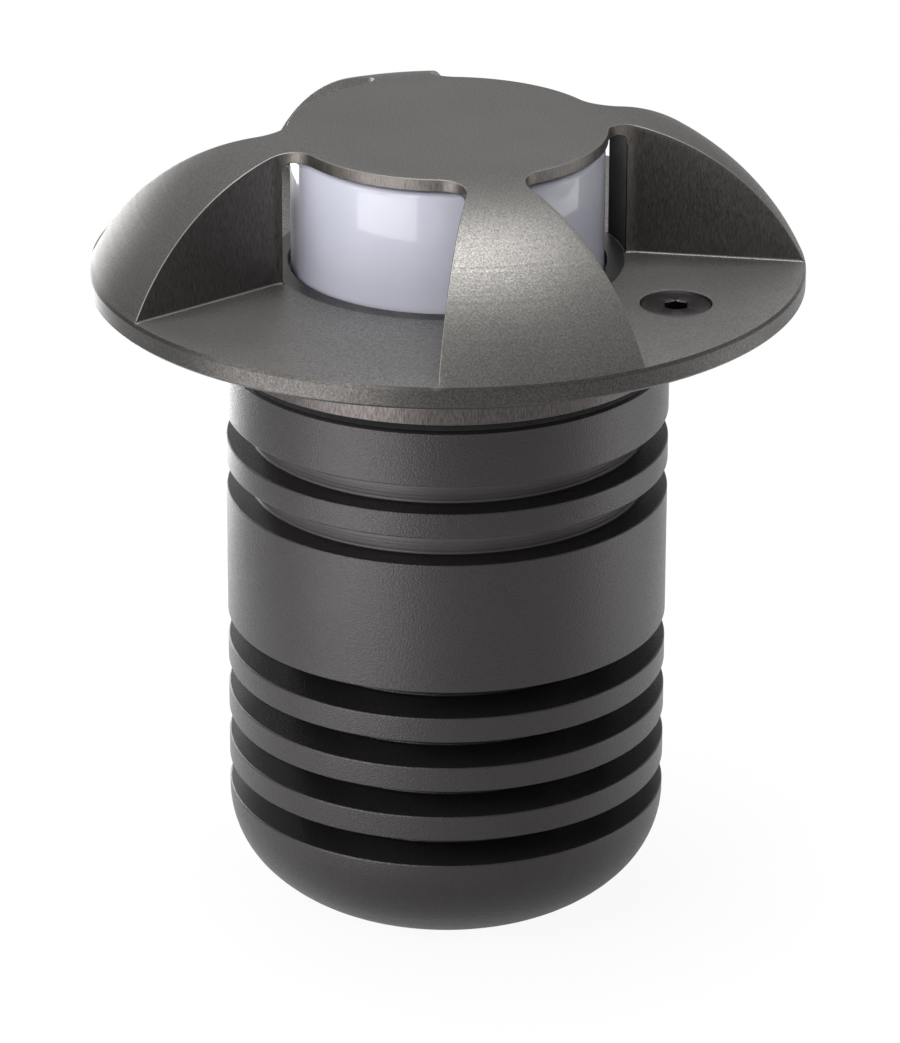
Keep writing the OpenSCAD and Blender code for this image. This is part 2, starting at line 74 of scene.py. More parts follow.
class Coat(Enum):
    """Which finish of a piece a patch of its surface takes, by its place in the piece's list."""

    MAIN = 0  # the piece's own finish
    # On the housing this slot holds the groove cores' paler copy of the coat, painted light.
    MILLED = 1  # pocket walls and ceiling, or the housing's groove cores
    # Rounded edges take a brighter copy of the metal as painted highlight.
    EDGE = 2  # rounded edges
    TURNED = 3  # rim, sill and underside
    NECK = 4  # bore and outside of the spigot
    # Pocket floors take a brighter copy of the blasted metal: painted light.
    FLOOR = 5  # pocket floors
    # The recess behind the fins and the countersinks take a near-black copy of the metal as painted shade.
    PAINTED_SHADE = 6  # recess behind the fins, and the countersinks


def linear(colour: str) -> tuple[float, float, float, float]:
    """Turn an sRGB hex colour into linear light.

    Args:
        colour: six hexadecimal digits after a hash sign.

    Returns:
        Linear red, green and blue, and an alpha of 1.
    """
    share = np.array([int(colour[i : i + 2], 16) for i in (1, 3, 5)]) / 255
    light = np.where(share <= 0.04045, share / 12.92, ((share + 0.055) / 1.055) ** 2.4)
    return (*light.tolist(), 1.0)


def add_node(
    tree: Tree, kind: str, inputs: dict[str | int, object] | None = None, **settings: object
) -> bpy.types.Node:
    """Add one node to a tree, with its settings, its input values and its links.

    Args:
        tree: the node tree that takes the node.
        kind: the node's type name, without the leading ShaderNode.
        inputs: value of each input by name or number; an output socket there becomes a link.
        settings: properties of the node.

    Returns:
        The new node.
    """
    node = tree.nodes.new("ShaderNode" + kind)
    for name, value in settings.items():
        setattr(node, name, value)
    for key, value in (inputs or {}).items():
        if isinstance(value, Socket):
            tree.links.new(value, node.inputs[key])
        else:
            node.inputs[key].default_value = value
    return node


def rounded(corners: Corners, steps: int = 5) -> np.ndarray:
    """Round the corners of a closed outline.

    Each corner becomes an arc that touches both of its sides: its centre lies on the bisector at
    radius / sin(half the inner angle), and its points turn evenly from one side's normal to the other's.

    Args:
        corners: corners of the outline in order.
        steps: points on each arc.

    Returns:
        Points of the outline, [corners * steps, 2].
    """
    table = np.array(corners, float)
    point, radius = table[:, :2], table[:, 2:3]
    back = np.roll(point, 1, 0) - point
    ahead = np.roll(point, -1, 0) - point
    back /= np.linalg.norm(back, axis=1, keepdims=True)
    ahead /= np.linalg.norm(ahead, axis=1, keepdims=True)
    half = np.arccos(np.clip((back * ahead).sum(1, keepdims=True), -1, 1)) / 2
    reach = radius / np.tan(half)
    bisector = back + ahead
    bisector /= np.maximum(np.linalg.norm(bisector, axis=1, keepdims=True), TINY)
    centre = point + bisector * radius / np.sin(half)
    start = point + back * reach - centre
    end = point + ahead * reach - centre
    turn = np.maximum(pi - 2 * half, TINY)[:, None, :]
    share = np.linspace(0, 1, steps)[None, :, None]
    arc = np.sin((1 - share) * turn) * start[:, None] + np.sin(share * turn) * end[:, None]
    return (centre[:, None] + arc / np.sin(turn)).reshape(-1, 2)


def turned(
    profile: np.ndarray, segments: int = TURN_STEPS, radius_at: np.ndarray | None = None
) -> np.ndarray:
    """Turn a half section round the Z axis: x = r cos a, y = r sin a, z = height.

    Args:
        profile: radius and height of each point, [points, 2], in millimetres.
        segments: steps of the full turn.
        radius_at: factor on the radius at each step of the turn, [points, segments + 1].

    Returns:
        Grid of points, [points, segments + 1, 3].
    """
    angle = np.linspace(0, 2 * pi, segments + 1)[None, :]
    radius = profile[:, :1] * (1 if radius_at is None else radius_at)
    height = np.broadcast_to(profile[:, 1:], (len(profile), segments + 1))
    return np.stack([radius * np.cos(angle), radius * np.sin(angle), height], -1)


def slerp(start: np.ndarray, end: np.ndarray, steps: int) -> np.ndarray:
    """Turn unit vectors evenly into others.

    Args:
        start: unit vectors, [n, 3].
        end: unit vectors, [n, 3].
        steps: equal steps between them.

    Returns:
        Unit vectors, [n, steps + 1, 3].
    """
    turn = np.arccos(np.clip((start * end).sum(-1), -1, 1))[:, None, None]
    share = np.linspace(0, 1, steps + 1)[None, :, None]
    mixed = np.sin((1 - share) * turn) * start[:, None] + np.sin(share * turn) * end[:, None]
    return mixed / np.sin(turn)


class Skin:
    """Patches of one closed surface, each a grid of points in millimetres."""

    def __init__(self) -> None:
        """Start with no patches."""
        self.patches: list[tuple[np.ndarray, Coat]] = []

    def add(self, grid: np.ndarray, coat: Coat = Coat.MAIN) -> None:
        """Add a grid of points, [rows, columns, 3], with the finish that the patch takes."""
        self.patches.append((np.asarray(grid, float), coat))

    def outline(self, corners: Corners) -> None:
        """Add a closed half section, given by its corners, rounded and turned round the Z axis."""
        profile = rounded(corners)
        self.add(turned(np.concatenate([profile, profile[:1]])))

    def copies(self, source: "Skin", matrices: list[np.ndarray]) -> None:
        """Add every patch of another skin once for each 3 x 3 matrix, as point times matrix."""
        self.patches += [(grid @ matrix, coat) for matrix in matrices for grid, coat in source.patches]

    def moved(self, shift: tuple[float, float, float]) -> "Skin":
        """Move every patch.

        Args:
            shift: the way in x, y and z.

        Returns:
            A new skin of the moved patches.
        """
        other = Skin()
        other.patches = [(grid + np.array(shift), coat) for grid, coat in self.patches]
        return other

    def build(self, name: str) -> bpy.types.Object:
        """Make one object: quads of all grids, doubles merged, faces turned outwards, small curves smooth.

        Args:
            name: the object's name.

        Returns:
            The object, at the origin and in metres.
        """
        points, quads, coats, offset = [], [], [], 0
        for grid, coat in self.patches:
            rows, columns = grid.shape[:2]
            index = offset + np.arange(rows * columns).reshape(rows, columns)
            quad = np.stack([index[:-1, :-1], index[1:, :-1], index[1:, 1:], index[:-1, 1:]], -1)
            points.append(grid.reshape(-1, 3))
            quads.append(quad.reshape(-1, 4))
            coats.append(np.full(len(quads[-1]), coat.value))
            offset += rows * columns
        mesh = bpy.data.meshes.new(name)
        mesh.from_pydata(np.concatenate(points) * MM, [], np.concatenate(quads).tolist())
        mesh.polygons.foreach_set("material_index", np.concatenate(coats).astype(np.int32))
        edit = bmesh.new()
        edit.from_mesh(mesh)
        bmesh.ops.remove_doubles(edit, verts=edit.verts, dist=WELD_M)
        bmesh.ops.dissolve_degenerate(edit, edges=edit.edges, dist=SLIVER_M)
        bmesh.ops.recalc_face_normals(edit, faces=edit.faces)
        edit.to_mesh(mesh)
        edit.free()
        mesh.shade_smooth()
        mesh.set_sharp_from_angle(angle=SHARP_FROM)
        piece = bpy.data.objects.new(name, mesh)
        bpy.context.scene.collection.objects.link(piece)
        weighted = piece.modifiers.new("surface_normals", "WEIGHTED_NORMAL")
        weighted.mode = "FACE_AREA"
        weighted.keep_sharp = True
        return piece


def place(piece: bpy.types.Object, node: str, finishes: Materials) -> None:
    """Dress a new piece, let it ride on the body and let it stand for its CAD node.

    Args:
        piece: the new object.
        node: the CAD node that it replaces.
        finishes: materials in the order of Coat.
    """
    for material in finishes:
        piece.data.materials.append(material)
    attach(piece, "root")
    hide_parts(node)
    LOG.info("%s: %d faces, stands for %s", piece.name, len(piece.data.polygons), node)


def fan(points: np.ndarray, edge: float | np.ndarray, columns: int) -> np.ndarray:
    """Sweep points round the axis at their own radius and height, from their own angle to a given one.

    Args:
        points: start of each row, [rows, 3].
        edge: angle at which the rows end, in radians.
        columns: equal steps of each row.

    Returns:
        Grid of points, [rows, columns + 1, 3].
    """
    start = np.arctan2(points[:, 1], points[:, 0])[:, None]
    angle = start + (edge - start) * np.linspace(0, 1, columns + 1)[None, :]
    radius = np.hypot(points[:, 0], points[:, 1])[:, None]
    height = np.broadcast_to(points[:, 2:3], angle.shape)
    return np.stack([radius * np.cos(angle), radius * np.sin(angle), height], -1)


def at_angles(profile: np.ndarray, angles: np.ndarray) -> np.ndarray:
    """Carry a profile of radius and height round the axis: each row has its own list of angles.

    Args:
        profile: radius and height, [rows, 2].
        angles: angle of each point, [rows, columns] or [columns].

    Returns:
        Grid of points, [rows, columns, 3].
    """
    angle = np.broadcast_to(angles, (len(profile), np.shape(angles)[-1]))
    height = np.broadcast_to(profile[:, 1:], angle.shape)
    return np.stack([profile[:, :1] * np.cos(angle), profile[:, :1] * np.sin(angle), height], -1)


def pierced(
    grid: np.ndarray, rows: tuple[int, int], columns: int, centre: float, radius: float
) -> list[np.ndarray]:
    """Open a half round hole in a flat grid whose first column lies on the X axis.

    The points round a window of the grid are joined by straight rulings to as many points, evenly
    spread, on the half circle.

    Args:
        grid: flat grid, [rows, columns, 3].
        rows: first and last row of the window.
        columns: width of the window in columns.
        centre: x of the hole's centre.
        radius: the hole's radius.

    Returns:
        Patches that replace the grid.
    """
    first, last = rows
    side = grid[first + 1 : last, columns]
    chain = np.concatenate([grid[first, : columns + 1], side, grid[last, columns::-1]])
    turn = np.linspace(0, pi, len(chain))
    turn = turn if chain[0, 0] > centre else turn[::-1]
    circle = np.stack([centre + radius * np.cos(turn), radius * np.sin(turn), chain[:, 2]], -1)
    ruling = chain + (circle - chain) * np.linspace(0, 1, RULING_STEPS + 1)[:, None, None]
    return [grid[: first + 1], grid[last:], grid[first : last + 1, columns:], ruling]


def washer(inner: float, outer: float, low: float, high: float, edge: float = SEAL_EDGE) -> Skin:
    """Turn a flat ring with rounded edges round the Z axis.

    Args:
        inner: inner radius.
        outer: outer radius.
        low: height of the lower face.
        high: height of the upper face.
        edge: rounding radius.

    Returns:
        The ring.
    """
    skin = Skin()
    skin.outline([(inner, low, edge), (outer, low, edge), (outer, high, edge), (inner, high, edge)])
    return skin


@dataclass(frozen=True)
class PocketPlan:
    """Half a pocket's outline in plan, and the rows at which its parts begin."""

    points: np.ndarray
    normals: np.ndarray
    recess: int
    back: int


@dataclass
class TopCover:
    """Domed cover, turned outside and inside, with four milled pockets that open its recess."""

    radius: float
    top: float
    foot: float
    spigot_r: float = 25.6
    spigot_h: float = 7.5
    thread_r: float = 21.5
    rim_h: float = 2.1
    rim_chamfer: float = 0.3
    floor_t: float = 2.5
    lip_t: float = 1.5
    roof_t: float = 1.5
    flat_r: float = 15.4
    pocket_half: float = 5.7
    pocket_spread: float = 20.6
    corner_r: float = 3.0
    window_r: float = 17.8
    recess_r: float = 20.0
    recess_corner: float = 1.2
    edge: float = 0.11
    fillet: float = 0.22
    screw_ring: float = 28.8
    sink_r: float = 4.0
    hole_r: float = 2.2
    # Rounding radii of the turned corners, from the sharpest to the one at the spigot's root.
    crisp: float = 0.1
    fine: float = 0.12
    soft: float = 0.2
    root: float = 0.25
    # Largest share of a wall's height that its edge and its foot's fillet may take.
    edge_share: float = 0.2
    fillet_share: float = 0.3
    # Inward and downward steps that round the countersink's brim.
    brim: tuple[tuple[float, float], ...] = ((0.0, 0.0), (0.06, 0.02), (0.12, 0.1))
    # Radii of the rings where the dome runs into the flat top.
    shoulder: tuple[float, ...] = (17.0, 16.4, 15.9)
    # How far the fine rings of the underside reach inwards and outwards from the screw's circle.
    under_reach: tuple[float, float] = (2.8, 3.0)
    # Steps of the grids: wall, corner arc in three stretches, back arc, half a fin, half a pocket,
    # a rounded edge, a turned corner, the opening for the screw, the lip, the wall's height, flats.
    # Crowding is the power that draws the wall's points towards the rim.
    wall_steps: int = 40
    arc_steps: tuple[int, int, int] = (6, 8, 8)
    back_steps: int = 18
    fin_steps: int = 12
    pocket_steps: int = 24
    edge_steps: int = 5
    turned_steps: int = 4
    hole_steps: int = 9
    lip_steps: int = 4
    height_steps: int = 8
    flat_steps: int = 8
    crowding: float = 1.5

    def __post_init__(self) -> None:
        """Work out the levels and the dome's radius."""
        self.flange = self.foot + self.spigot_h
        self.floor = self.flange + self.floor_t
        self.lip = self.floor - self.lip_t
        self.ceiling = self.top - self.roof_t
        self.rim = self.flange + self.rim_h
        drop = self.top - self.rim
        self.dome_r = ((self.radius - self.flat_r) ** 2 + drop**2) / (2 * drop)
        rise = self.floor - self.top + self.dome_r
        self.tip_r = self.flat_r + (self.dome_r**2 - rise**2) ** 0.5

    def dome(self, rho: np.ndarray, inset: np.ndarray | float = 0.0) -> np.ndarray:
        """Height of the dome: flat to flat_r, then an arc of dome_r less the inset."""
        out = np.maximum(rho - self.flat_r, 0)
        return self.top - self.dome_r + np.sqrt((self.dome_r - inset) ** 2 - out**2)

    def plan(self) -> PocketPlan:
        """Follow half a pocket's outline from the rim inwards: side wall, round corner, back arc.

        The wall is the line y = pocket_half + x times the spread's tangent, with its points crowded
        towards the rim. The corner is an arc of corner_r that touches the wall and the window's
        circle, so its centre is corner_r outside that circle and corner_r off the wall.

        Returns:
            The outline, with the rows where it meets the recess and the back arc.
        """
        spread = radians(self.pocket_spread)
        slope = tan(spread)
        reach = self.window_r + self.corner_r
        start = self.pocket_half - self.corner_r / cos(spread)
        a, b = 1 + slope**2, self.pocket_half * slope
        x = ((reach**2 * a - start**2) ** 0.5 - start * slope) / a
        centre = np.array([x, start + x * slope])
        heading = np.arctan2(centre[1], centre[0])
        tip_x = (-b + (b**2 - a * (self.pocket_half**2 - self.tip_r**2)) ** 0.5) / a
        share = np.linspace(0, 1, self.wall_steps + 1) ** self.crowding
        wall_x = tip_x + (x - self.corner_r * sin(spread) - tip_x) * share
        wall = np.stack([wall_x, self.pocket_half + wall_x * slope], -1)
        ball = self.corner_r + self.edge

        def turn_at(distance: float) -> float:
            """Angle on the corner arc at which the edge's rounding centre is so far from the axis.

            Args:
                distance: distance from the axis.

            Returns:
                The angle in radians, by the law of cosines.
            """
            return heading + np.arccos((distance**2 - reach**2 - ball**2) / (2 * reach * ball))

        stops = [pi / 2 + spread, turn_at(self.recess_r + self.edge)]
        stops += [turn_at(self.recess_r - self.recess_corner), pi + heading]
        stretches = zip(stops, stops[1:], self.arc_steps)
        turns = np.concatenate([np.linspace(low, high, steps + 1)[1:] for low, high, steps in stretches])
        spoke = np.stack([np.cos(turns), np.sin(turns)], -1)
        back = np.linspace(heading, 0, self.back_steps + 1)[1:]
        back_spoke = np.stack([np.cos(back), np.sin(back)], -1)
        side = np.broadcast_to([sin(spread), -cos(spread)], wall.shape)
        return PocketPlan(
            points=np.concatenate([wall, centre + self.corner_r * spoke, self.window_r * back_spoke]),
            normals=np.concatenate([side, -spoke, back_spoke]),
            recess=self.wall_steps + self.arc_steps[0],
            back=self.wall_steps + sum(self.arc_steps),
        )

    def octant(self, holed: bool) -> Skin:
        """Build the eighth of the cover between a pocket's middle and a fin's middle.

        The edges are what a ball of radius edge leaves that touches both faces: its centre lies an
        edge inside each, and its surface turns from one face's normal to the other's. The foot of
        the walls is the same with a ball of radius fillet on the outside.

        Args:
            holed: whether the pocket holds a fixing screw.

        Returns:
            The patches.
        """
        skin = Skin()
        outline = self.plan()
        point, normal = outline.points, outline.normals
        v, b = outline.recess, outline.back
        fins, steps = self.fin_steps, self.edge_steps

        # The dome's edge round the pocket, the fin behind it and the flat top.
        rise = np.maximum(self.dome(np.hypot(*point.T)) - self.floor, 0)
        e = np.minimum(self.edge, self.edge_share * rise)[:, None]
        f = np.minimum(self.fillet, self.fillet_share * rise)[:, None]
        ball = point - e * normal
        rho = np.hypot(*ball.T)[:, None]
        out = ball / rho
        lean = np.maximum(rho - self.flat_r, 0) / (self.dome_r - e)
        up = np.hstack([lean * out, np.sqrt(1 - lean**2)])
        side = np.hstack([normal, np.zeros_like(e)])
        top_z = self.dome(rho, e)
        rounding = np.hstack([ball, top_z])[:, None] + e[:, None] * slerp(up, side, steps)
        # The rounded edges take the brighter painted-highlight finish.
        skin.add(rounding, Coat.EDGE)
        contact = rounding[:, 0]
        skin.add(fan(contact[: b + 1], FIN_ANGLE, fins))
        spread = np.arctan2(contact[:b:-1, 1], contact[:b:-1, 0])
        disc_angles = np.concatenate([spread, self.angles(contact[b])])
        flat = np.linspace(1, 0, self.flat_steps + 1)
        disc_r = np.concatenate([[np.hypot(*contact[b, :2])], self.shoulder, self.flat_r * flat])
        skin.add(at_angles(np.stack([disc_r, self.dome(disc_r)], -1), disc_angles))

        # The walls down to the recess, whose round upper corner cuts them in an arc.
        tube_r = self.recess_r - self.recess_corner
        tube_z = self.ceiling - self.recess_corner
        swing = np.sqrt(np.maximum((self.recess_corner + e) ** 2 - (rho - tube_r) ** 2, 0))
        under = rho[:, 0] <= tube_r + TINY
        low_z = np.where(under[:, None], self.ceiling + e, tube_z + swing)
        foot_z = self.floor + f
        share = (tube_z - foot_z[v]) / (top_z[v] - foot_z[v])
        row = np.arange(len(point))[:, None]
        mid_z = np.where(row < v, foot_z + share * (top_z - foot_z), low_z)
        skin.add(self.drop(point, top_z, mid_z, self.lip_steps), Coat.MILLED)

        # The lower edge of the roof, the recess's corner behind the fin and its ceiling.
        to_tube = np.hstack([(tube_r - rho) * out, tube_z - low_z]) / (self.recess_corner + e)
        down = np.where(under[:, None], DOWN, to_tube)
        lip = np.hstack([ball, low_z])[v:, None] + e[v:, None] * slerp(side[v:], down[v:], steps)
        skin.add(lip, Coat.EDGE)
        skin.add(fan(lip[: b - v + 1, -1], FIN_ANGLE, fins), Coat.MILLED)
        spread = np.arctan2(lip[: b - v : -1, -1, 1], lip[: b - v : -1, -1, 0])
        roof_angles = np.concatenate([spread, self.angles(lip[b - v, -1])])
        roof_r = np.hypot(*lip[b - v, -1, :2]) * flat
        roof = np.stack([roof_r, np.full(len(flat), self.ceiling)], -1)
        skin.add(at_angles(roof, roof_angles), Coat.MILLED)

        # The walls from there to their foot, the upright edge beside the window and the bore.
        inward = slerp(side[v : v + 1], -np.hstack([out[v], 0])[None], steps)[0, 1:, :2]
        jamb = ball[v] + self.edge * inward
        arc = self.angles(ball[v])[1:]
        spoke = np.stack([np.cos(arc), np.sin(arc)], -1)
        path = np.concatenate([point[: v + 1], jamb, self.recess_r * spoke])
        facing = np.concatenate([normal[: v + 1], inward, -spoke])
        foot = np.concatenate([f[: v + 1], np.broadcast_to(f[v], (steps + fins, 1))])
        start_z = np.concatenate([mid_z[: v + 1], np.full((steps + fins, 1), tube_z)])
        walls = self.drop(path, start_z, self.floor + foot, self.height_steps)
        skin.add(walls[: v + 2], Coat.MILLED)
        # The recess's wall and its foot take the near-black painted shade.
        skin.add(walls[v + 1 :], Coat.PAINTED_SHADE)
        facing = np.hstack([facing, np.zeros_like(foot)])
        turn = slerp(-facing, np.broadcast_to(DOWN, facing.shape), steps)
        cove = np.hstack([path, self.floor + foot]) + foot * facing
        cove = cove[:, None] + foot[:, None] * turn
        skin.add(cove[: v + 2], Coat.EDGE)
        skin.add(cove[v + 1 :], Coat.PAINTED_SHADE)

        # The pocket's floor, and what the lathe leaves.
        bed = cove[: v + steps + 1, -1]
        # The floor takes the brighter painted-light finish.
        ground = np.flip(fan(bed, 0.0, self.pocket_steps), 1)
        if holed:
            middle = int(np.argmin(np.abs(ground[:, 0, 0] - self.screw_ring)))
            rows = (middle - self.hole_steps, middle + self.hole_steps)
            for patch in pierced(ground, rows, self.hole_steps, self.screw_ring, self.sink_r):
                skin.add(patch, Coat.FLOOR)
        else:
            skin.add(ground, Coat.FLOOR)
        self.turned_part(skin, bed, holed)
        return skin

    def angles(self, start: np.ndarray) -> np.ndarray:
        """Step evenly in angle from a point, given by x and y, to the fin's middle plane."""
        return np.linspace(np.arctan2(start[1], start[0]), FIN_ANGLE, self.fin_steps + 1)

    def drop(self, path: np.ndarray, start: np.ndarray, end: np.ndarray, rows: int) -> np.ndarray:
        """Let a path fall as a vertical wall.

        Args:
            path: plan points, [n, 2].
            start: upper height of each point, [n, 1].
            end: lower height of each point, [n, 1].
            rows: equal steps of height.

        Returns:
            Grid of points, [n, rows + 1, 3].
        """
        height = start + (end - start) * np.linspace(0, 1, rows + 1)[None, :]
        plan = np.broadcast_to(path[:, None], (len(path), rows + 1, 2))
        return np.concatenate([plan, height[..., None]], -1)

    def turned_part(self, skin: Skin, bed: np.ndarray, holed: bool) -> None:
        """Add what the lathe leaves: the sill under the window, bore, spigot, underside and rim.

        The rows of angles of the inner corners follow the pocket's edge at the window. Over the
        first three corners they turn into those of its edge at the rim.

        Args:
            skin: takes the patches.
            bed: edge of the pocket's floor from the rim inwards, [n, 3].
            holed: whether the pocket holds a fixing screw.
        """
        steps, hole = self.turned_steps, self.hole_steps
        corners = [
            (float(np.hypot(*bed[-1, :2])), self.floor, 0),
            (self.window_r, self.floor, self.fine),
            (self.window_r, self.lip, self.fine),
            (self.thread_r, self.lip, self.soft),
            (self.thread_r, self.foot, self.soft),
            (self.spigot_r, self.foot, self.fine),
            (self.spigot_r, self.flange, self.root),
            (self.radius - self.rim_chamfer, self.flange, self.crisp),
            (self.radius, self.flange + self.rim_chamfer, self.crisp),
            (self.radius, self.rim, self.fine),
            (self.tip_r, self.floor, 0),
        ]
        sill, cut = 3 * steps, 7 * steps
        profile = rounded(corners, steps)
        inner, rim = (
            np.concatenate([
                np.linspace(0, wall, self.pocket_steps + 1),
                np.linspace(wall, FIN_ANGLE, self.fin_steps + 1)[1:],
            ])
            for wall in (np.arctan2(bed[i, 1], bed[i, 0]) for i in (-1, 0))
        )
        blend = np.clip(np.arange(len(profile)) // steps / 3, 0, 1)[:, None]
        angles = inner + (rim - inner) * blend
        skin.add(at_angles(profile[: sill + 1], angles[: sill + 1]), Coat.TURNED)
        skin.add(at_angles(profile[sill:cut], angles[sill:cut]), Coat.NECK)
        skin.add(at_angles(profile[cut:], rim), Coat.TURNED)
        inside, outside = self.under_reach
        near = np.linspace(self.screw_ring - inside, self.screw_ring + outside, 2 * hole + 1)
        far = np.linspace(near[-1], profile[cut, 0], self.flat_steps + 1)[1:]
        radii = np.concatenate([[profile[cut - 1, 0]], near, far])
        under = at_angles(np.stack([radii, np.full(len(radii), self.flange)], -1), rim)
        if not holed:
            skin.add(under, Coat.TURNED)
            return
        for patch in pierced(under, (1, 2 * hole + 1), hole, self.screw_ring, self.hole_r):
            skin.add(patch, Coat.TURNED)
        brim = [(self.sink_r - inward, self.floor - down) for inward, down in self.brim]
        depth = self.sink_r - self.hole_r
        drill = [*brim, (self.hole_r, self.floor - depth), (self.hole_r, self.flange)]
        cone = at_angles(np.array(drill), np.linspace(0, pi, 4 * hole + 1))
        # The countersink and its hole take the near-black painted shade.
        skin.add(cone + np.array([self.screw_ring, 0, 0]), Coat.PAINTED_SHADE)

    def build(self, finishes: Materials) -> None:
        """Mirror the eighth to the whole cover and dress it.

        Args:
            finishes: materials in the order of Coat.
        """
        skin = Skin()
        flips = [np.diag([x, y, 1.0]) for x in (1, -1) for y in (1, -1)]
        swap = np.array([[0, 1.0, 0], [1.0, 0, 0], [0, 0, 1.0]])
        skin.copies(self.octant(True), flips)
        skin.copies(self.octant(False), [swap @ flip for flip in flips])
        place(skin.build("domed_cover"), "top_cover", finishes)


@dataclass
class Housing:
    """One-piece ribbed housing with its threaded neck, driver cavity and cable entry."""

    radius: float
    top: float
    collar_top: float
    neck_r: float = 21.45
    neck_bore: float = 19.0
    ledge_h: float = 3.0
    cavity_r: float = 15.0
    cavity_z: float = 13.2
    base_h: float = 13.4
    corner_w: float = 14.4
    corner_h: float = 12.5
    side_r: float = 11.0
    gap_h: float = 3.05
    rib_h: float = 3.0
    gap_depth: float = 6.0
    ribs: int = 3
    band_h: float = 15.4
    groove_h: float = 3.1
    groove_depth: float = 3.0
    collar_bevel: float = 0.4
    rib_edge: float = 0.22
    groove_root: float = 0.35
    pocket_r: float = 8.2
    pocket_h: float = 7.2
    entry_r: float = 6.0
    # Rounding radii of the other corners.
    fine: float = 0.1
    bevel_edge: float = 0.12
    soft: float = 0.2
    foot_edge: float = 0.3
    cavity_root: float = 0.5
    # How near to a groove's floor a row counts as its core.
    core_slack: float = 0.1
    corner_points: int = 14

    def base_corner(self) -> Corners:
        """Follow the rounded foot: an arc off the flat that runs into a smaller arc up to the side.

        The first arc's radius is the one at which both arcs share their tangent where they meet.

        Returns:
            Corners without rounding, from the flat foot to the upright side.
        """
        run = self.corner_w - self.side_r
        foot_r = (run**2 + self.corner_h**2 - self.side_r**2) / (2 * (self.corner_h - self.side_r))
        flat_r = self.radius - self.corner_w
        meet = np.arctan2(self.corner_h - foot_r, run)
        low = np.linspace(-pi / 2, meet, self.corner_points)
        high = np.linspace(meet, 0, self.corner_points)[1:]
        arcs = [
            np.stack([x + r * np.cos(turn), z + r * np.sin(turn), 0 * turn], -1)
            for x, z, r, turn in (
                (flat_r, foot_r, foot_r, low),
                (self.radius - self.side_r, self.corner_h, self.side_r, high),
            )
        ]
        return [tuple(row) for row in np.concatenate(arcs).tolist()]

    def outline(self) -> Corners:
        """List the half section's corners.

        Returns:
            Corners up the outside, over the neck and down the inside.
        """
        r, e, root = self.radius, self.rib_edge, self.groove_root
        core, groove = r - self.gap_depth, r - self.groove_depth
        pitch = self.gap_h + self.rib_h
        lows = [self.base_h + i * pitch for i in range(self.ribs + 1)]
        corners = [(self.pocket_r, 0, self.foot_edge), *self.base_corner()]
        for low in lows:
            corners += [(r, low, e), (core, low, e), (core, low + self.gap_h, e), (r, low + self.gap_h, e)]
        band = lows[-1] + self.gap_h + self.band_h
        upper = band + self.groove_h + self.rib_h
        for low in (band, upper):
            high = low + self.groove_h
            corners += [(r, low, e), (groove, low, root), (groove, high, root), (r, high, e)]
        ledge = self.collar_top + self.ledge_h
        return corners + [
            (r, self.collar_top - self.collar_bevel, self.bevel_edge),
            (r - self.collar_bevel, self.collar_top, self.bevel_edge),
            (self.neck_r, self.collar_top, self.soft),
            (self.neck_r, self.top, self.soft),
            (self.neck_bore, self.top, self.soft),
            (self.neck_bore, ledge, self.fine),
            (self.cavity_r, ledge, self.soft),
            (self.cavity_r, self.cavity_z, self.cavity_root),
            (self.entry_r, self.cavity_z, self.soft),
            (self.entry_r, self.pocket_h, self.fine),
            (self.pocket_r, self.pocket_h, self.soft),
        ]

    def build(self, finishes: Materials) -> None:
        """Turn the half section and dress it; the cores of the upper grooves take the second finish, a
        paler copy of the coat that is painted light.

        Args:
            finishes: finish of the housing, and the paler finish of the cores, painted light.
        """
        profile = rounded(self.outline())
        profile = np.concatenate([profile, profile[:1]])
        middle = (profile[1:] + profile[:-1]) / 2
        upper = self.base_h + self.ribs * (self.gap_h + self.rib_h) + self.gap_h + self.band_h
        # The groove cores take the paler coat as painted light.
        core = np.abs(middle[:, 0] - self.radius + self.groove_depth) < self.core_slack
        core &= (middle[:, 1] > upper) & (middle[:, 1] < self.collar_top - self.collar_bevel)
        stops = [0, *(np.flatnonzero(np.diff(core)) + 1), len(core)]
        skin = Skin()
        for start, end in zip(stops, stops[1:]):
            skin.add(turned(profile[start : end + 1]), Coat.MILLED if core[start] else Coat.MAIN)
        place(skin.build("ribbed_housing"), "housing", finishes)


@dataclass
class Diffuser:
    """Opal cup that the light shines through, with its foot flange and silicone ring."""

    foot: float
    top: float
    radius: float = 17.5
    wall: float = 1.6
    edge: float = 0.8
    foot_r: float = 21.15
    foot_h: float = 1.6
    ring_r: float = 17.8
    ring_h: float = 0.8
    foot_root: float = 0.3
    foot_edge: float = 0.2
    arc_points: int = 7
    segments: int = 160

    def build(self, opal: Materials, silicone: Materials) -> None:
        """Turn the cup and its ring and dress them.

        Args:
            opal: finish of the cup.
            silicone: finish of the ring.
        """
        inner, step = self.radius - self.wall, self.foot + self.foot_h
        profile = rounded([
            (0, self.top, 0),
            (self.radius, self.top, self.edge),
            (self.radius, step, self.foot_root),
            (self.foot_r, step, self.foot_edge),
            (self.foot_r, self.foot, self.foot_edge),
            (inner, self.foot, self.foot_edge),
            (inner, self.top - self.wall, self.edge),
            (0, self.top - self.wall, 0),
        ], self.arc_points)
        cup = Skin()
        cup.add(turned(profile, self.segments))
        place(cup.build("opal_cup"), "diffuser", opal)
        ring = washer(self.ring_r, self.foot_r, step, step + self.ring_h)
        place(ring.build("cup_ring"), "diffuser_gasket", silicone)


def hexagon_radius(angle: np.ndarray) -> np.ndarray:
    """Radius of a hexagon of half width 1: 1 over the cosine of the angle from a flat's middle.

    Args:
        angle: angles round the axis in radians.

    Returns:
        The radius at each angle.
    """
    return 1 / np.cos(np.mod(angle, pi / 3) - pi / 6)


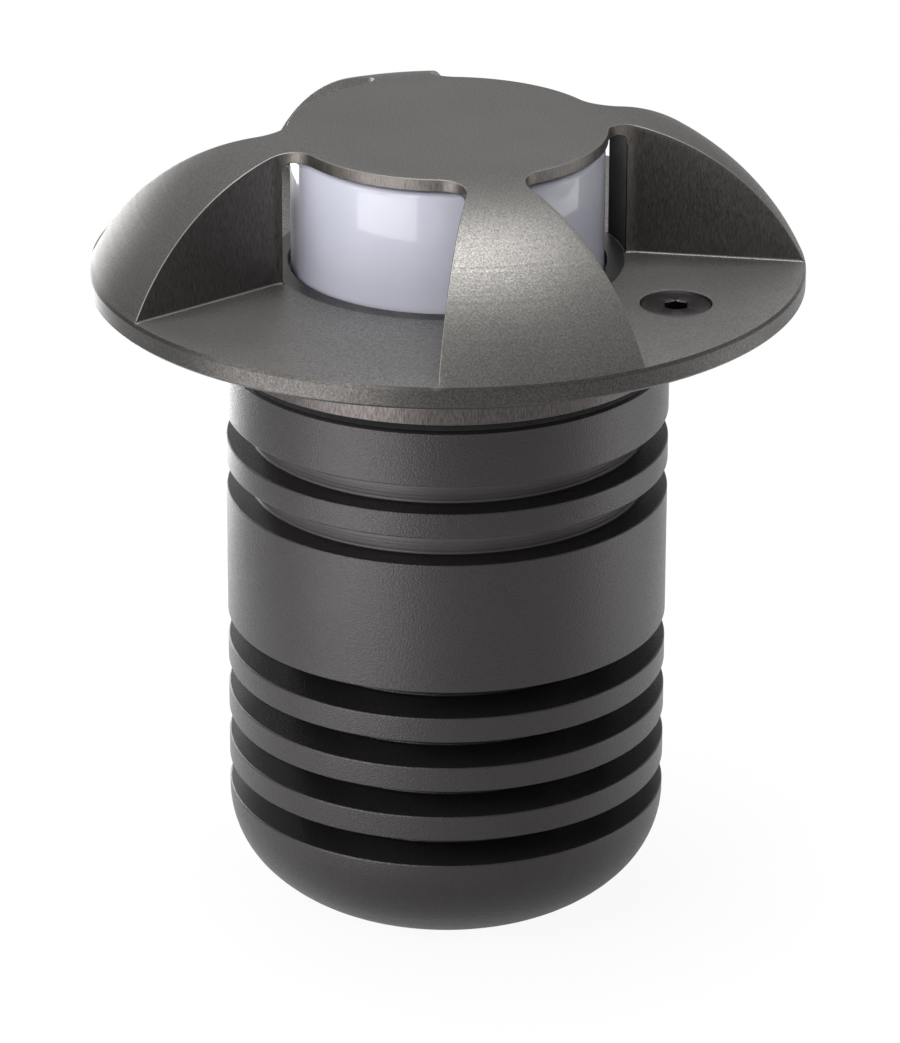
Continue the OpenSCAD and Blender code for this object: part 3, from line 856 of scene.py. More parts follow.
@dataclass
class FixingScrews:
    """Two countersunk screws with hexagon sockets that hold the light down."""

    top: float
    bottom: float
    ring_r: float
    head_r: float = 3.8
    land: float = 0.15
    neck_r: float = 1.65
    thread_r: float = 2.0
    # Height at which the thread begins, just below the flange.
    thread_top: float = 73.4
    pitch: float = 0.7
    thread_depth: float = 0.38
    point: float = 0.4
    socket_af: float = 2.5
    socket_depth: float = 1.6
    # Depth of the socket's drilled point, height of its chamfer, and how far the chamfer widens it.
    drill_point: float = 0.3
    chamfer: float = 0.12
    widening: float = 1.2
    # Height of the cone between neck and thread.
    run_out: float = 0.2
    # Inward and downward steps that round the head's brim.
    brim: tuple[tuple[float, float], ...] = ((0.12, 0.0), (0.03, 0.05))
    segments: int = 96
    rows_per_pitch: int = 8

    def build(self, finishes: Materials) -> None:
        """Turn the screw, press its socket and cut its thread.

        The socket's radius is half the width across flats over the cosine of the angle from the
        flat's middle. The thread's radius falls and rises once per pitch along a helix.

        Args:
            finishes: finish of the screws.
        """
        angle = np.linspace(0, 2 * pi, self.segments + 1)
        hexagon = hexagon_radius(angle)
        round_bar = np.ones(self.segments + 1)
        half, bed = self.socket_af / 2, self.top - self.socket_depth
        head = [
            (0, bed - self.drill_point, round_bar),
            (half, bed, hexagon),
            (half, self.top - self.chamfer, hexagon),
            (half * self.widening, self.top, round_bar),
            *((self.head_r - inward, self.top - down, round_bar) for inward, down in self.brim),
            (self.head_r, self.top - self.land, round_bar),
            (self.neck_r, self.top - self.land - self.head_r + self.neck_r, round_bar),
            (self.neck_r, self.thread_top + self.run_out, round_bar),
            (self.thread_r - self.thread_depth, self.thread_top, round_bar),
        ]
        turns = np.arange(self.thread_top, self.bottom + self.point, -self.pitch / self.rows_per_pitch)
        phase = np.mod(turns[:, None] / self.pitch + angle[None, :] / (2 * pi), 1)
        valley = np.abs(2 * phase - 1)
        fade = np.clip((self.thread_top - turns[:, None]) / self.pitch, 0, 1)
        thread = self.thread_r - self.thread_depth * (1 - fade * (1 - valley))
        end = np.array([self.thread_r - self.point, 0])[:, None] * round_bar
        radius = np.vstack([[r * factor for r, _, factor in head], thread[1:], end])
        height = np.concatenate([[z for _, z, _ in head], turns[1:], [self.bottom, self.bottom]])
        profile = np.stack([np.ones(len(height)), height], -1)
        screw = Skin()
        screw.add(turned(profile, self.segments, radius))
        both = Skin()
        both.patches = [patch for x in (1, -1) for patch in screw.moved((x * self.ring_r, 0, 0)).patches]
        place(both.build("fixing_screws"), "flange_screws", finishes)


@dataclass
class CableGland:
    """Cable gland in the base: body and nut with chamfered hexagons, washer and seal."""

    nut_foot: float
    body_top: float
    nut_h: float = 3.8
    lip_t: float = 0.9
    across_flats: float = 13.0
    bore_r: float = 3.35
    thread_r: float = 5.95
    neck_r: float = 5.3
    neck_gap: float = 0.4
    flange_foot: float = 4.4
    flange_top: float = 6.4
    washer_top: float = 7.2
    seal_r: float = 4.5
    # Radial clearance of the turned fits, chamfers of stem and bore, rounding of the flat washer.
    clearance: float = 0.05
    thread_chamfer: float = 0.4
    bore_chamfer: float = 0.25
    washer_edge: float = 0.1
    # The turned-off end of a hexagon: its angle, its share of the half width at the very end, the
    # depth of its fine rows, their steps and the depth of the row after them.
    cone_angle: float = 30.0
    cone_share: float = 0.985
    cone_depth: float = 0.6
    cone_steps: int = 6
    cone_end: float = 1.0
    segments: int = 120

    def hexagon(self, low: float, high: float) -> tuple[np.ndarray, np.ndarray]:
        """Shape a hexagon bar whose ends are turned off to a cone.

        At each height the radius is the smaller of the hexagon's and the cone's.

        Args:
            low: lower end.
            high: upper end.

        Returns:
            Radii, [rows, segments + 1], and heights, [rows].
        """
        half = self.across_flats / 2
        bar = half * hexagon_radius(np.linspace(0, 2 * pi, self.segments + 1))
        depth = np.append(np.linspace(0, self.cone_depth, self.cone_steps + 1), self.cone_end)
        height = np.concatenate([low + depth, high - depth[::-1]])
        end = np.concatenate([depth, depth[::-1]])
        cone = half * self.cone_share + end / tan(radians(self.cone_angle))
        return np.minimum(bar[None, :], cone[:, None]), height

    def ring(self, radius: float, height: float) -> tuple[np.ndarray, float]:
        """Make a round row at one height: the radius at each step of the turn, and the height."""
        return np.full(self.segments + 1, radius), height

    def loop(self, rows: list[tuple[np.ndarray, np.ndarray | float]]) -> Skin:
        """Close a list of rows into a ring-shaped skin.

        Args:
            rows: radii and heights of one or more rows each.

        Returns:
            The skin.
        """
        radius = np.vstack([np.atleast_2d(r) for r, _ in rows])
        height = np.concatenate([np.atleast_1d(z) for _, z in rows])
        radius = np.vstack([radius, radius[:1]])
        height = np.append(height, height[0])
        skin = Skin()
        skin.add(turned(np.stack([np.ones(len(height)), height], -1), self.segments, radius))
        return skin

    def build(self, plated: Materials, rubber: Materials) -> None:
        """Build and dress the four pieces.

        Args:
            plated: finish of the body and the nut.
            rubber: finish of the washer and the seal.
        """
        bore, neck, stem = self.bore_r, self.neck_r, self.thread_r
        nut_top = self.nut_foot + self.nut_h
        seat = self.nut_foot + self.lip_t
        chamber = seat + self.neck_gap
        nut = self.loop([
            self.ring(bore + self.bore_chamfer, self.nut_foot),
            self.hexagon(self.nut_foot, nut_top),
            self.ring(neck + self.clearance, nut_top),
            self.ring(neck + self.clearance, seat),
            self.ring(bore, seat),
            self.ring(bore, self.nut_foot + self.bore_chamfer),
        ])
        place(nut.build("gland_ring_nut"), "gland_nut", plated)
        bar, height = self.hexagon(self.flange_foot, self.flange_top)
        body = self.loop([
            self.ring(bore, self.body_top),
            self.ring(stem - self.thread_chamfer, self.body_top),
            self.ring(stem, self.body_top - self.thread_chamfer),
            self.ring(stem, self.flange_top),
            (bar[::-1], height[::-1]),
            self.ring(neck, self.flange_foot),
            self.ring(neck, chamber),
            self.ring(self.seal_r + self.clearance, chamber),
            self.ring(self.seal_r + self.clearance, self.flange_foot),
            self.ring(bore, self.flange_foot),
        ])
        place(body.build("gland_stem"), "gland_body", plated)
        rim = self.across_flats / 2
        flat = washer(stem + self.clearance, rim, self.flange_top, self.washer_top, self.washer_edge)
        place(flat.build("gland_flat_seal"), "gland_washer", rubber)
        seal = washer(bore, self.seal_r, seat, self.flange_foot)
        place(seal.build("gland_cable_seal"), "gland_seal", rubber)


@dataclass(frozen=True)
class Finish:
    """A surface as its maker left it: colour, gloss and a fine relief, from noise of real size.

    The colour runs to the shade over the tone, which mixes patches of patch_mm and specks of
    grain_mm by speckle. The roughness swings about its mean with the relief, relief_mm high.
    """

    name: str
    colour: str
    shade: str
    roughness: float
    swing: float = 0.04
    metallic: float = 0.0
    grain_mm: float = 0.4
    relief_mm: float = 0.01
    patch_mm: float = 12.0
    speckle: float = 0.0
    coat: float = 0.0
    subsurface: float = 0.0
    sink_mm: float = 1.5
    tint: str = "#ffffff"
    # The middle part of a noise, which is spread over the whole range of tone and roughness.
    tone_span: tuple[float, float] = (0.35, 0.65)
    relief_span: tuple[float, float] = (0.3, 0.7)

    def spot(self, tree: Tree) -> Socket:
        """Find the point on the object in millimetres."""
        at = add_node(tree, "TexCoord").outputs["Object"]
        return add_node(tree, "VectorMath", {0: at, 3: 1 / MM}, operation="SCALE").outputs[0]

    def off_axis(self, tree: Tree, spot: Socket) -> Socket:
        """Find a point's distance from the light's axis: the length of the point at height 0."""
        flat = add_node(tree, "VectorMath", {0: spot, 1: (1.0, 1.0, 0.0)}, operation="MULTIPLY")
        return add_node(tree, "VectorMath", {0: flat.outputs[0]}, operation="LENGTH").outputs["Value"]

    def tone(self, tree: Tree, spot: Socket) -> Socket:
        """Mix soft patches of handling and specks of the grain.

        Args:
            tree: the node tree that takes the nodes.
            spot: the point in millimetres.

        Returns:
            The share of the second colour.
        """
        patch = add_node(tree, "TexNoise", {"Vector": spot, "Scale": 1 / self.patch_mm, "Detail": 3.0})
        grain = add_node(tree, "TexNoise", {"Vector": spot, "Scale": 1 / self.grain_mm, "Detail": 1.0})
        mixed = add_node(tree, "Mix", {0: self.speckle, 2: patch.outputs[0], 3: grain.outputs[0]})
        low, high = self.tone_span
        return add_node(tree, "MapRange", {0: mixed.outputs[0], 1: low, 2: high}).outputs[0]

    def height(self, tree: Tree, spot: Socket) -> Socket:
        """Make the fine relief, a noise of grain_mm, as a share of relief_mm."""
        grain = {"Vector": spot, "Scale": 1 / self.grain_mm, "Detail": 2.0}
        return add_node(tree, "TexNoise", grain).outputs[0]

    def stain(self, tree: Tree, spot: Socket, colour: Socket) -> Socket:
        """Leave the colour as it is; a finish with local stains changes it."""
        return colour

    def build(self) -> bpy.types.Material:
        """Build the material: tone into colour, relief into roughness and bump.

        Returns:
            The material.
        """
        material = bpy.data.materials.new(self.name)
        material.use_nodes = True
        tree = material.node_tree
        tree.nodes.clear()
        spot = self.spot(tree)
        tone = self.tone(tree, spot)
        height = self.height(tree, spot)
        colours = {0: tone, 6: linear(self.colour), 7: linear(self.shade)}
        blend = add_node(tree, "Mix", colours, data_type="RGBA")
        low, high = self.relief_span
        swing = {3: self.roughness - self.swing, 4: self.roughness + self.swing}
        rough = add_node(tree, "MapRange", {0: height, 1: low, 2: high, **swing})
        bump = add_node(tree, "Bump", {"Height": height, "Distance": self.relief_mm * MM, "Strength": 1.0})
        shader = add_node(tree, "BsdfPrincipled", {
            "Base Color": self.stain(tree, spot, blend.outputs[2]),
            "Roughness": rough.outputs[0],
            "Normal": bump.outputs[0],
            "Metallic": self.metallic,
            "Coat Weight": self.coat,
            "Subsurface Weight": self.subsurface,
            "Specular Tint": linear(self.tint),
        })
        if self.subsurface:
            shader.inputs["Subsurface Radius"].default_value = (1.0, 1.0, 1.0)
            shader.inputs["Subsurface Scale"].default_value = self.sink_mm * MM
        add_node(tree, "OutputMaterial", {"Surface": shader.outputs[0]})
        return material


@dataclass(frozen=True)
class TurnedFinish(Finish):
    """A finish on a turned face, with the lathe's faint rings under it."""

    ring_mm: float = 0.35
    ring_share: float = 0.35
    ring_start: float = 0.0
    ring_fade: float = 6.0

    def height(self, tree: Tree, spot: Socket) -> Socket:
        """Mix rings, a noise of the distance from the axis alone, into the fine grain.

        Args:
            tree: the node tree that takes the nodes.
            spot: the point in millimetres.

        Returns:
            The relief as a share of relief_mm.
        """
        grain = super().height(tree, spot)
        radius = self.off_axis(tree, spot)
        noise = {"W": radius, "Scale": 1 / self.ring_mm, "Detail": 2.0}
        rings = add_node(tree, "TexNoise", noise, noise_dimensions="1D")
        reach = {0: radius, 1: self.ring_start, 2: self.ring_start + self.ring_fade, 4: self.ring_share}
        share = add_node(tree, "MapRange", reach)
        return add_node(tree, "Mix", {0: share.outputs[0], 2: grain, 3: rings.outputs[0]}).outputs[0]


@dataclass(frozen=True)
class LevelFinish(Finish):
    """A finish over a turned upright face, with the tool's level lines under it."""

    line_mm: float = 0.3
    line_share: float = 0.6

    def height(self, tree: Tree, spot: Socket) -> Socket:
        """Mix level lines, a noise of the height alone, into the fine grain.

        Args:
            tree: the node tree that takes the nodes.
            spot: the point in millimetres.

        Returns:
            The relief as a share of relief_mm.
        """
        grain = super().height(tree, spot)
        level = add_node(tree, "SeparateXYZ", {0: spot}).outputs["Z"]
        noise = {"W": level, "Scale": 1 / self.line_mm, "Detail": 2.0}
        lines = add_node(tree, "TexNoise", noise, noise_dimensions="1D")
        return add_node(tree, "Mix", {0: self.line_share, 2: grain, 3: lines.outputs[0]}).outputs[0]


@dataclass(frozen=True)
class MilledFinish(Finish):
    """A milled upright wall: the cutter's flank leaves upright streaks."""

    streak_mm: float = 0.13
    streak_length: float = 5.0
    tone_width: float = 1.2
    warm: str = "#716a66"
    warm_r: float = 20.0
    warm_fade: float = 2.5
    warm_share: float = 0.6
    warm_width: float = 2.0
    warm_span: tuple[float, float] = (0.4, 0.62)

    def streaks(self, tree: Tree, spot: Socket, width: float) -> Socket:
        """Make a noise that is drawn out along the height.

        Args:
            tree: the node tree that takes the nodes.
            spot: the point in millimetres.
            width: width of a streak, as a multiple of streak_mm.

        Returns:
            The noise.
        """
        stretch = {0: spot, 1: (1.0, 1.0, 1 / self.streak_length)}
        drawn = add_node(tree, "VectorMath", stretch, operation="MULTIPLY").outputs[0]
        noise = {"Vector": drawn, "Scale": 1 / (width * self.streak_mm), "Detail": 3.0}
        return add_node(tree, "TexNoise", noise).outputs[0]

    def tone(self, tree: Tree, spot: Socket) -> Socket:
        """Spread streaks a little broader than those of the relief.

        Args:
            tree: the node tree that takes the nodes.
            spot: the point in millimetres.

        Returns:
            The share of the second colour.
        """
        low, high = self.tone_span
        wide = self.streaks(tree, spot, self.tone_width)
        return add_node(tree, "MapRange", {0: wide, 1: low, 2: high}).outputs[0]

    def height(self, tree: Tree, spot: Socket) -> Socket:
        """Make the relief of fine streaks, as a share of relief_mm."""
        return self.streaks(tree, spot, 1.0)

    def stain(self, tree: Tree, spot: Socket, colour: Socket) -> Socket:
        """Warm the colour in streaks nearer the axis than warm_r plus warm_fade, fully within warm_r,
        which on the cover is near the pocket's inner corners.

        Args:
            tree: the node tree that takes the nodes.
            spot: the point in millimetres.
            colour: the colour before the stains.

        Returns:
            The colour with its stains.
        """
        edge = {1: self.warm_r + self.warm_fade, 2: self.warm_r, 4: self.warm_share}
        near = add_node(tree, "MapRange", {0: self.off_axis(tree, spot), **edge})
        low, high = self.warm_span
        wide = self.streaks(tree, spot, self.warm_width)
        share = add_node(tree, "MapRange", {0: wide, 1: low, 2: high, 4: near.outputs[0]})
        stained = {0: share.outputs[0], 6: colour, 7: linear(self.warm)}
        return add_node(tree, "Mix", stained, data_type="RGBA").outputs[2]


# One dot of the render is about 0.11 mm on the light. Blast pits, coat texture and tool marks are finer
# than that or near it, so their grain is drawn from 0.12 mm up, as coarse as it needs to show.

# Anodised aluminium, bead blasted before the bath: a dark warm grey metal with a fine even sparkle, and
# the lathe's rings only on the flanks, from ring_start outwards.
BLASTED = TurnedFinish(
    "anodised_aluminium_blasted", "#646260", "#4f4e4c", roughness=0.46, swing=0.06, metallic=1.0,
    grain_mm=0.2, relief_mm=0.02, speckle=0.8, ring_share=0.45, ring_start=24.0,
)
# The pockets' floors, end milled and then blasted: the same grain, more scattered, and a little brighter
# as painted light in the pockets.
FLOOR_PAINTED_LIGHT = Finish(
    "anodised_aluminium_pocket_floor_painted_light", "#797775", "#575655", roughness=0.5, swing=0.08, metallic=1.0,
    grain_mm=0.2, relief_mm=0.03, speckle=0.8,
)
# Anodised aluminium as milled: darker and browner, with upright streaks from the cutter's flank.
MILLED = MilledFinish(
    "anodised_aluminium_milled", "#6a6764", "#565351", roughness=0.42, swing=0.1, metallic=1.0,
    relief_mm=0.012,
)
# Anodised aluminium as turned: darker and smoother than the blasted faces, with the tool's rings.
TURNED = TurnedFinish(
    "anodised_aluminium_turned", "#504e4c", "#3b3938", roughness=0.4, swing=0.05, metallic=1.0,
    grain_mm=0.22, relief_mm=0.014, speckle=0.7,
)
# Anodised aluminium in the bored recess and the countersinks, coloured nearly black: painted shade,
# because little light finds its way out of them.
RECESS_PAINTED_SHADE = TurnedFinish(
    "anodised_aluminium_recess_painted_shade", "#2c2a29", "#262423", roughness=0.45, swing=0.05, metallic=1.0,
    grain_mm=0.25, relief_mm=0.012,
)
# Anodised aluminium, the spigot as turned and sawn to length: brownish, with upright streaks.
NECK = MilledFinish(
    "anodised_aluminium_spigot", "#555150", "#3f3b3a", roughness=0.42, swing=0.1, metallic=1.0,
    relief_mm=0.012, streak_mm=0.12, warm_r=0.0,
)
# The edges that the beads have rounded, a little brighter than the faces: painted highlight.
EDGE_PAINTED_HIGHLIGHT = Finish(
    "anodised_aluminium_edge_painted_highlight", "#73716f", "#6b6967", roughness=0.46, swing=0.05, metallic=1.0,
    grain_mm=0.3, relief_mm=0.008,
)
# Powder coat over die-cast aluminium: anthracite, satin, with a fine sandy texture.
COATED = Finish(
    "powder_coat_fine_texture", "#1d1c1c", "#131212", roughness=0.37, swing=0.06, grain_mm=0.2,
    relief_mm=0.06, speckle=0.75, tint="#e2dbdd",
)
# The same coat over the turned groove floors, with the tool's level lines; its paler colour is painted
# light on the cores.
CORE_PAINTED_LIGHT = LevelFinish(
    "powder_coat_core_painted_light", "#434041", "#383637", roughness=0.45, swing=0.06, grain_mm=0.21,
    relief_mm=0.05, tint="#f0e7ea",
)
# Black-oxide steel, as forged and rolled: near black with a dull metallic gloss.
BLACK_STEEL = Finish(
    "black_oxide_steel", "#403e3f", "#353334", roughness=0.42, swing=0.08, metallic=1.0, grain_mm=0.25,
)
# Opal polycarbonate, moulded and polished: milky and cool white, glossy, lets light sink in.
OPAL = Finish(
    "opal_polycarbonate_moulded", "#c4c5d2", "#bfc0ce", roughness=0.4, swing=0.02, grain_mm=1.5,
    relief_mm=0.001, coat=0.6, subsurface=0.4,
)
# Silicone rubber, moulded: translucent pale grey with a soft dull surface.
SILICONE = Finish(
    "silicone_rubber_clear", "#d6d3cb", "#cbc8c0", roughness=0.5, swing=0.05, grain_mm=0.6,
    subsurface=0.3,
)
# EPDM rubber, stamped: deep matt black.
RUBBER = Finish(
    "epdm_rubber_stamped", "#121213", "#18181a", roughness=0.8, swing=0.08, grain_mm=0.5, relief_mm=0.02,
    tint="#6a6a6a",
)
# Nickel-plated brass, turned: pale warm metal with a soft shine.
NICKEL = Finish(
    "nickel_plated_brass", "#b9b4a8", "#aca79b", roughness=0.28, swing=0.06, metallic=1.0, grain_mm=0.6,
    relief_mm=0.006,
)
# Zinc-plated steel, cold headed: bright bluish metal.
ZINC = Finish(
    "zinc_plated_steel", "#b4b7ba", "#a6a9ad", roughness=0.32, swing=0.06, metallic=1.0, grain_mm=0.3,
    relief_mm=0.006,
)
# Nylon, moulded: off-white, dull.
NYLON = Finish(
    "nylon_moulded_white", "#dedbd2", "#d3d0c7", roughness=0.5, swing=0.05, grain_mm=0.6, relief_mm=0.012,
)
# Finishes of the inner pieces, by node.
INNER = {
    # White solder mask on aluminium: glossy off-white lacquer.
    "led_board": Finish(
        "solder_mask_white", "#edede7", "#e4e4de", roughness=0.3, swing=0.05, grain_mm=0.8,
    ),
    # Phosphor in silicone: deep yellow gel.
    "leds": Finish("phosphor_gel", "#f0cf5a", "#e8c248", roughness=0.3, swing=0.05, subsurface=0.2),
    # Nylon, moulded: ivory, slightly satin.
    "led_connector": Finish(
        "nylon_moulded_ivory", "#e6e0cf", "#dcd6c5", roughness=0.5, swing=0.05, grain_mm=0.5,
    ),
    # White polycarbonate, moulded: bright and satin.
    "reflector": Finish(
        "polycarbonate_white_satin", "#f1f1ef", "#e9e9e7", roughness=0.35, swing=0.05, grain_mm=0.8,
        relief_mm=0.008,
    ),
    # Gap-filler silicone, cast: chalky grey blue.
    "thermal_pad": Finish(
        "gap_filler_silicone", "#8fa9b6", "#869fac", roughness=0.7, swing=0.05, grain_mm=0.6,
        relief_mm=0.02,
    ),
    # Aluminium, turned: bright metal with the lathe's rings.
    "led_carrier": TurnedFinish(
        "aluminium_turned", "#c9cacc", "#bfc0c2", roughness=0.3, swing=0.08, metallic=1.0, grain_mm=0.3,
        ring_share=0.8,
    ),
    # Glass-epoxy board, lacquered: even green, slightly wavy.
    "driver_board": Finish(
        "glass_epoxy_green", "#1e6b45", "#195c3b", roughness=0.35, swing=0.05, grain_mm=0.5,
    ),
    # Shrink sleeve of PET on the capacitors: glossy dark blue.
    "capacitors": Finish(
        "shrink_sleeve_blue", "#22336b", "#1c2b5c", roughness=0.25, grain_mm=0.7, relief_mm=0.008,
    ),
    # Ferrite, sintered: dull dark brown grey.
    "choke": Finish(
        "ferrite_sintered", "#37322f", "#2f2b28", roughness=0.7, swing=0.06, grain_mm=0.3,
        relief_mm=0.02,
    ),
    # Epoxy, transfer moulded: matt black, finely grained.
    "driver_chips": Finish(
        "epoxy_moulded_black", "#1f1f21", "#262628", roughness=0.6, swing=0.06, grain_mm=0.2,
    ),
    # Polyamide, moulded: green, satin.
    "terminal_block": Finish(
        "polyamide_moulded_green", "#3d7d57", "#37714e", roughness=0.45, swing=0.05, grain_mm=0.5,
        relief_mm=0.012,
    ),
    # Silicone sleeve on the leads: brick red, soft.
    "hookup_leads": Finish("silicone_sleeve_red", "#b1352c", "#a52f27", roughness=0.5, swing=0.05),
    # The bright screws and the board's two holders, each size from its own batch.
    "led_board_screws": ZINC,
    "carrier_screws": replace(ZINC, name="zinc_plated_steel_m2"),
    "terminal_screws": replace(ZINC, name="zinc_plated_steel_clamp", roughness=0.34),
    "board_cap": NYLON,
    "board_foot": replace(NYLON, name="nylon_moulded_white_foot"),
}


@dataclass(frozen=True)
class Softbox:
    """A soft lamp: direction from the object, place, size, power and the height that it points at.

    The azimuth is in degrees round the axis from the camera, and the other lengths are in metres.
    """

    name: str
    azimuth: float
    height: float
    distance: float
    width: float
    tall: float
    watts: float
    aim: float

    def build(self, heading: float) -> None:
        """Hang the lamp, turned to the axis at the height of aim.

        Args:
            heading: angle of the camera round the axis, in radians.
        """
        turn = heading + radians(self.azimuth)
        data = bpy.data.lights.new(self.name, "AREA")
        data.shape = "RECTANGLE"
        data.size = self.width
        data.size_y = self.tall
        data.energy = self.watts
        lamp = bpy.data.objects.new(self.name, data)
        lamp.location = (self.distance * cos(turn), self.distance * sin(turn), self.height)
        ray = Vector((0, 0, self.aim)) - lamp.location
        lamp.rotation_euler = ray.to_track_quat("-Z", "Y").to_euler()
        lamp.visible_camera = False
        bpy.context.scene.collection.objects.link(lamp)


@dataclass
class Studio:
    """Camera, pale floor, white surroundings and soft lamps."""

    # The camera: its place in metres, its pitch and roll in degrees, its lens and sensor in millimetres,
    # and its shift as a share of the frame's width.
    eye: tuple[float, float, float] = (0.29277, -0.51324, 0.29238)
    pitch: float = 22.737
    roll: float = 0.154
    lens: float = 194.17
    sensor: float = 36.0
    shift: float = 0.00314
    clip_start: float = 0.01
    # The floor's width, its grid lines, how far it lies below the foot, and its mottling, in metres.
    floor_size: float = 12.0
    floor_lines: int = 9
    floor_drop: float = 0.0001
    floor_grain: float = 0.025
    # How white the floor looks to the camera and in reflections, and the world's light on dull surfaces.
    floor_seen: float = 0.93
    floor_mirrored: float = 0.4
    ambient: float = 0.25
    # Heights of a ray's end between which the world rises from ambient to white in reflections.
    dim_to: tuple[float, float] = (0.0, 0.5)
    lamps: tuple[Softbox, ...] = (
        Softbox("key_softbox_left", -62, 0.155, 0.2, 0.07, 0.15, 0.12, 0.08),
        Softbox("key_softbox_right", -30, 0.155, 0.2, 0.07, 0.15, 0.17, 0.08),
        Softbox("key_card", -42, 0.036, 0.1, 0.08, 0.07, 0.076, 0.036),
        Softbox("rim_card", -146, 0.048, 0.13, 0.07, 0.092, 0.11, 0.038),
        Softbox("side_card", 88, 0.026, 0.12, 0.07, 0.05, 0.018, 0.02),
        Softbox("side_softbox", 95, 0.07, 0.5, 0.22, 0.16, 0.2, 0.05),
        Softbox("overhead_softbox", 180, 1.1, 0.04, 0.6, 0.6, 14.2, 0.05),
    )

    def camera(self) -> None:
        """Stand the camera where the photograph was taken, looking at the axis and down by pitch."""
        heading = Vector((-self.eye[0], -self.eye[1], 0)).normalized()
        down = radians(self.pitch)
        ahead = (heading * cos(down) - Vector((0, 0, sin(down)))).normalized()
        right = ahead.cross(Vector((0, 0, 1))).normalized()
        up = right.cross(ahead)
        turn = Matrix((right, up, -ahead)).transposed().to_4x4()
        data = bpy.data.cameras.new("photo_camera")
        data.lens = self.lens
        data.sensor_width = self.sensor
        data.shift_x = self.shift
        data.clip_start = self.clip_start
        camera = bpy.data.objects.new("photo_camera", data)
        roll = Matrix.Rotation(radians(self.roll), 4, "Z")
        camera.matrix_world = Matrix.Translation(self.eye) @ turn @ roll
        bpy.context.scene.collection.objects.link(camera)
        bpy.context.scene.camera = camera

    def seen(self, tree: Tree, camera: float, gloss: float | Socket) -> Socket:
        """Tell rays that look at a surface from rays that gather its light.

        Args:
            tree: the node tree that takes the nodes.
            camera: share for rays from the camera.
            gloss: share for rays off a glossy surface or through a clear one.

        Returns:
            The share, 0 for rays that gather light.
        """
        path = add_node(tree, "LightPath")
        off = {0: path.outputs["Is Glossy Ray"], 1: path.outputs["Is Transmission Ray"]}
        mirrored = add_node(tree, "Math", off, operation="MAXIMUM")
        part = add_node(tree, "Math", {0: mirrored.outputs[0], 1: gloss}, operation="MULTIPLY")
        direct = {0: path.outputs["Is Camera Ray"], 1: camera, 2: part.outputs[0]}
        return add_node(tree, "Math", direct, operation="MULTIPLY_ADD").outputs[0]

    def surroundings(self) -> None:
        """Make the world white to look at, and dimmer as a light on dull surfaces.

        In reflections it goes from dim at the horizon to white above.
        """
        world = bpy.data.worlds.new("white_surroundings")
        bpy.context.scene.world = world
        world.use_nodes = True
        tree = world.node_tree
        tree.nodes.clear()
        at = add_node(tree, "TexCoord")
        rise = add_node(tree, "SeparateXYZ", {0: at.outputs["Object"]}).outputs["Z"]
        low, high = self.dim_to
        level = add_node(tree, "MapRange", {0: rise, 1: low, 2: high}).outputs[0]
        share = self.seen(tree, 1.0, level)
        strength = add_node(tree, "MapRange", {0: share, 3: self.ambient, 4: 1.0})
        light = add_node(tree, "Background", {"Color": linear("#ffffff"), "Strength": strength.outputs[0]})
        add_node(tree, "OutputWorld", {"Surface": light.outputs[0]})

    def floor(self) -> None:
        """Lay a plain pale floor of painted board that looks white and keeps a soft shadow."""
        half = self.floor_size / 2
        side = np.linspace(-half, half, self.floor_lines)
        x, y = np.meshgrid(side, side)
        skin = Skin()
        skin.add(np.stack([x, y, np.full_like(x, -self.floor_drop)], -1) / MM)
        floor = skin.build("studio_floor")
        material = bpy.data.materials.new("painted_board_white")
        material.use_nodes = True
        tree = material.node_tree
        tree.nodes.clear()
        at = add_node(tree, "TexCoord")
        grain = {"Vector": at.outputs["Object"], "Scale": 1 / self.floor_grain}
        noise = add_node(tree, "TexNoise", grain)
        tones = {0: noise.outputs[0], 6: linear("#e9e9e9"), 7: linear("#e6e6e6")}
        tint = add_node(tree, "Mix", tones, data_type="RGBA")
        paint = add_node(tree, "BsdfDiffuse", {"Color": tint.outputs[2]})
        bright = add_node(tree, "Emission", {"Color": linear("#ffffff"), "Strength": 1.0})
        share = self.seen(tree, self.floor_seen, self.floor_mirrored)
        mixed = add_node(tree, "MixShader", {0: share, 1: paint.outputs[0], 2: bright.outputs[0]})
        add_node(tree, "OutputMaterial", {"Surface": mixed.outputs[0]})
        floor.data.materials.append(material)

    def build(self) -> None:
        """Set up camera, floor, surroundings and lamps."""
        bpy.context.scene.view_settings.view_transform = "Standard"
        self.camera()
        self.floor()
        self.surroundings()
        heading = float(np.arctan2(self.eye[1], self.eye[0]))
        for lamp in self.lamps:
            lamp.build(heading)


def node_mm(node: str) -> tuple[np.ndarray, np.ndarray]:
    """Read a CAD node's box.

    Args:
        node: name of the node.

    Returns:
        Its lowest and its highest corner in millimetres.
    """
    low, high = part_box(node)
    return np.array(low) / MM, np.array(high) / MM


def dress_inner_pieces() -> None:
    """Give each CAD node that stays its own finish."""
    for node, finish in INNER.items():
        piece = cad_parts[node]
        material = finish.build()
        for slot in piece.material_slots:
            slot.material = material
        LOG.info("%s: dressed as %s", node, finish.name)


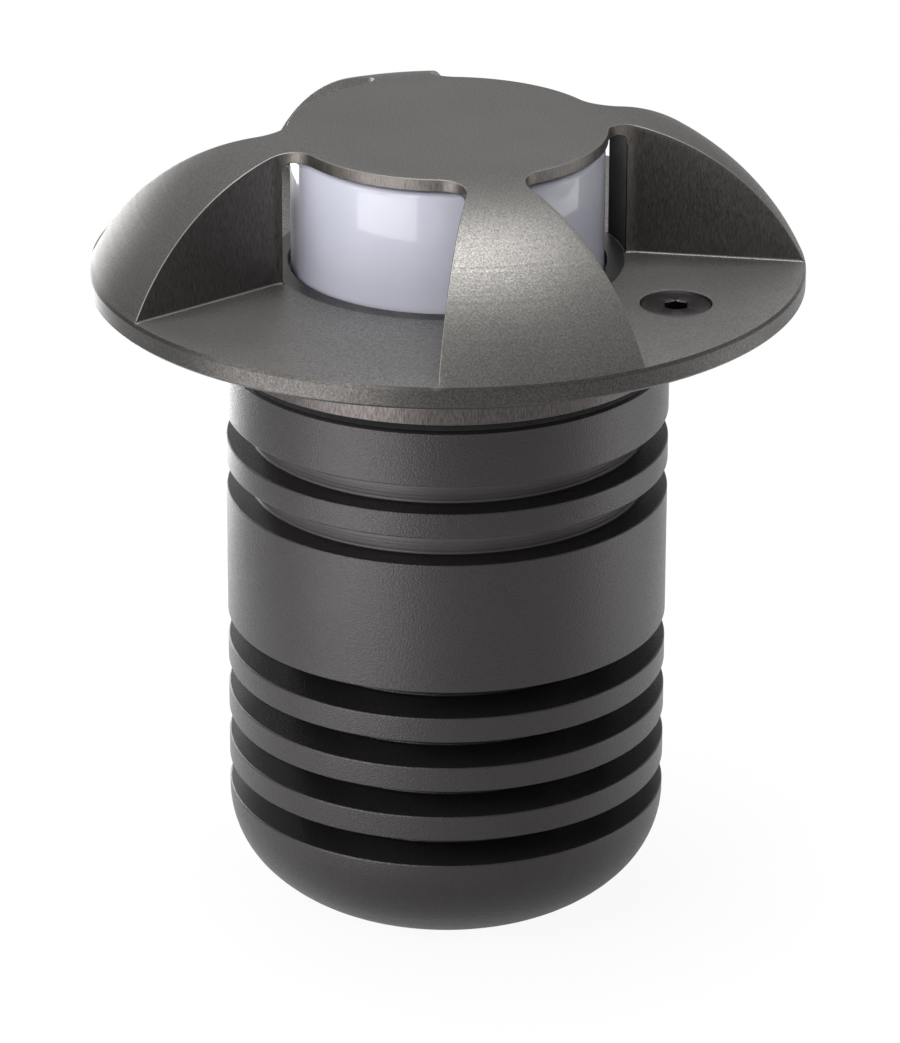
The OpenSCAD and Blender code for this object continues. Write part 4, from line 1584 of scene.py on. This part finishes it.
def main() -> None:
    """Build and dress the light from the cover down, then the studio."""
    logging.basicConfig(level=logging.INFO, format="%(name)s: %(message)s")
    cover_finishes = (BLASTED, MILLED, EDGE_PAINTED_HIGHLIGHT, TURNED, NECK, FLOOR_PAINTED_LIGHT, RECESS_PAINTED_SHADE)
    metal = [finish.build() for finish in cover_finishes]
    rubber = [RUBBER.build()]
    low, high = node_mm("top_cover")
    TopCover(high[0], high[2], low[2]).build(metal)
    low, high = node_mm("diffuser")
    Diffuser(low[2], high[2]).build([OPAL.build()], [SILICONE.build()])
    low, high = node_mm("flange_screws")
    FixingScrews(high[2], low[2], high[0] - FixingScrews.head_r).build([BLACK_STEEL.build()])
    low, high = node_mm("cover_gasket")
    gasket = washer(TopCover.thread_r, high[0], low[2], high[2])
    place(gasket.build("cover_seal"), "cover_gasket", rubber)
    collar_top = low[2]
    _, high = node_mm("housing")
    Housing(high[0], high[2], collar_top).build([COATED.build(), CORE_PAINTED_LIGHT.build()])
    CableGland(node_mm("gland_nut")[0][2], node_mm("gland_body")[1][2]).build([NICKEL.build()], rubber)
    dress_inner_pieces()
    Studio().build()


if __name__ == "__main__":
    main()
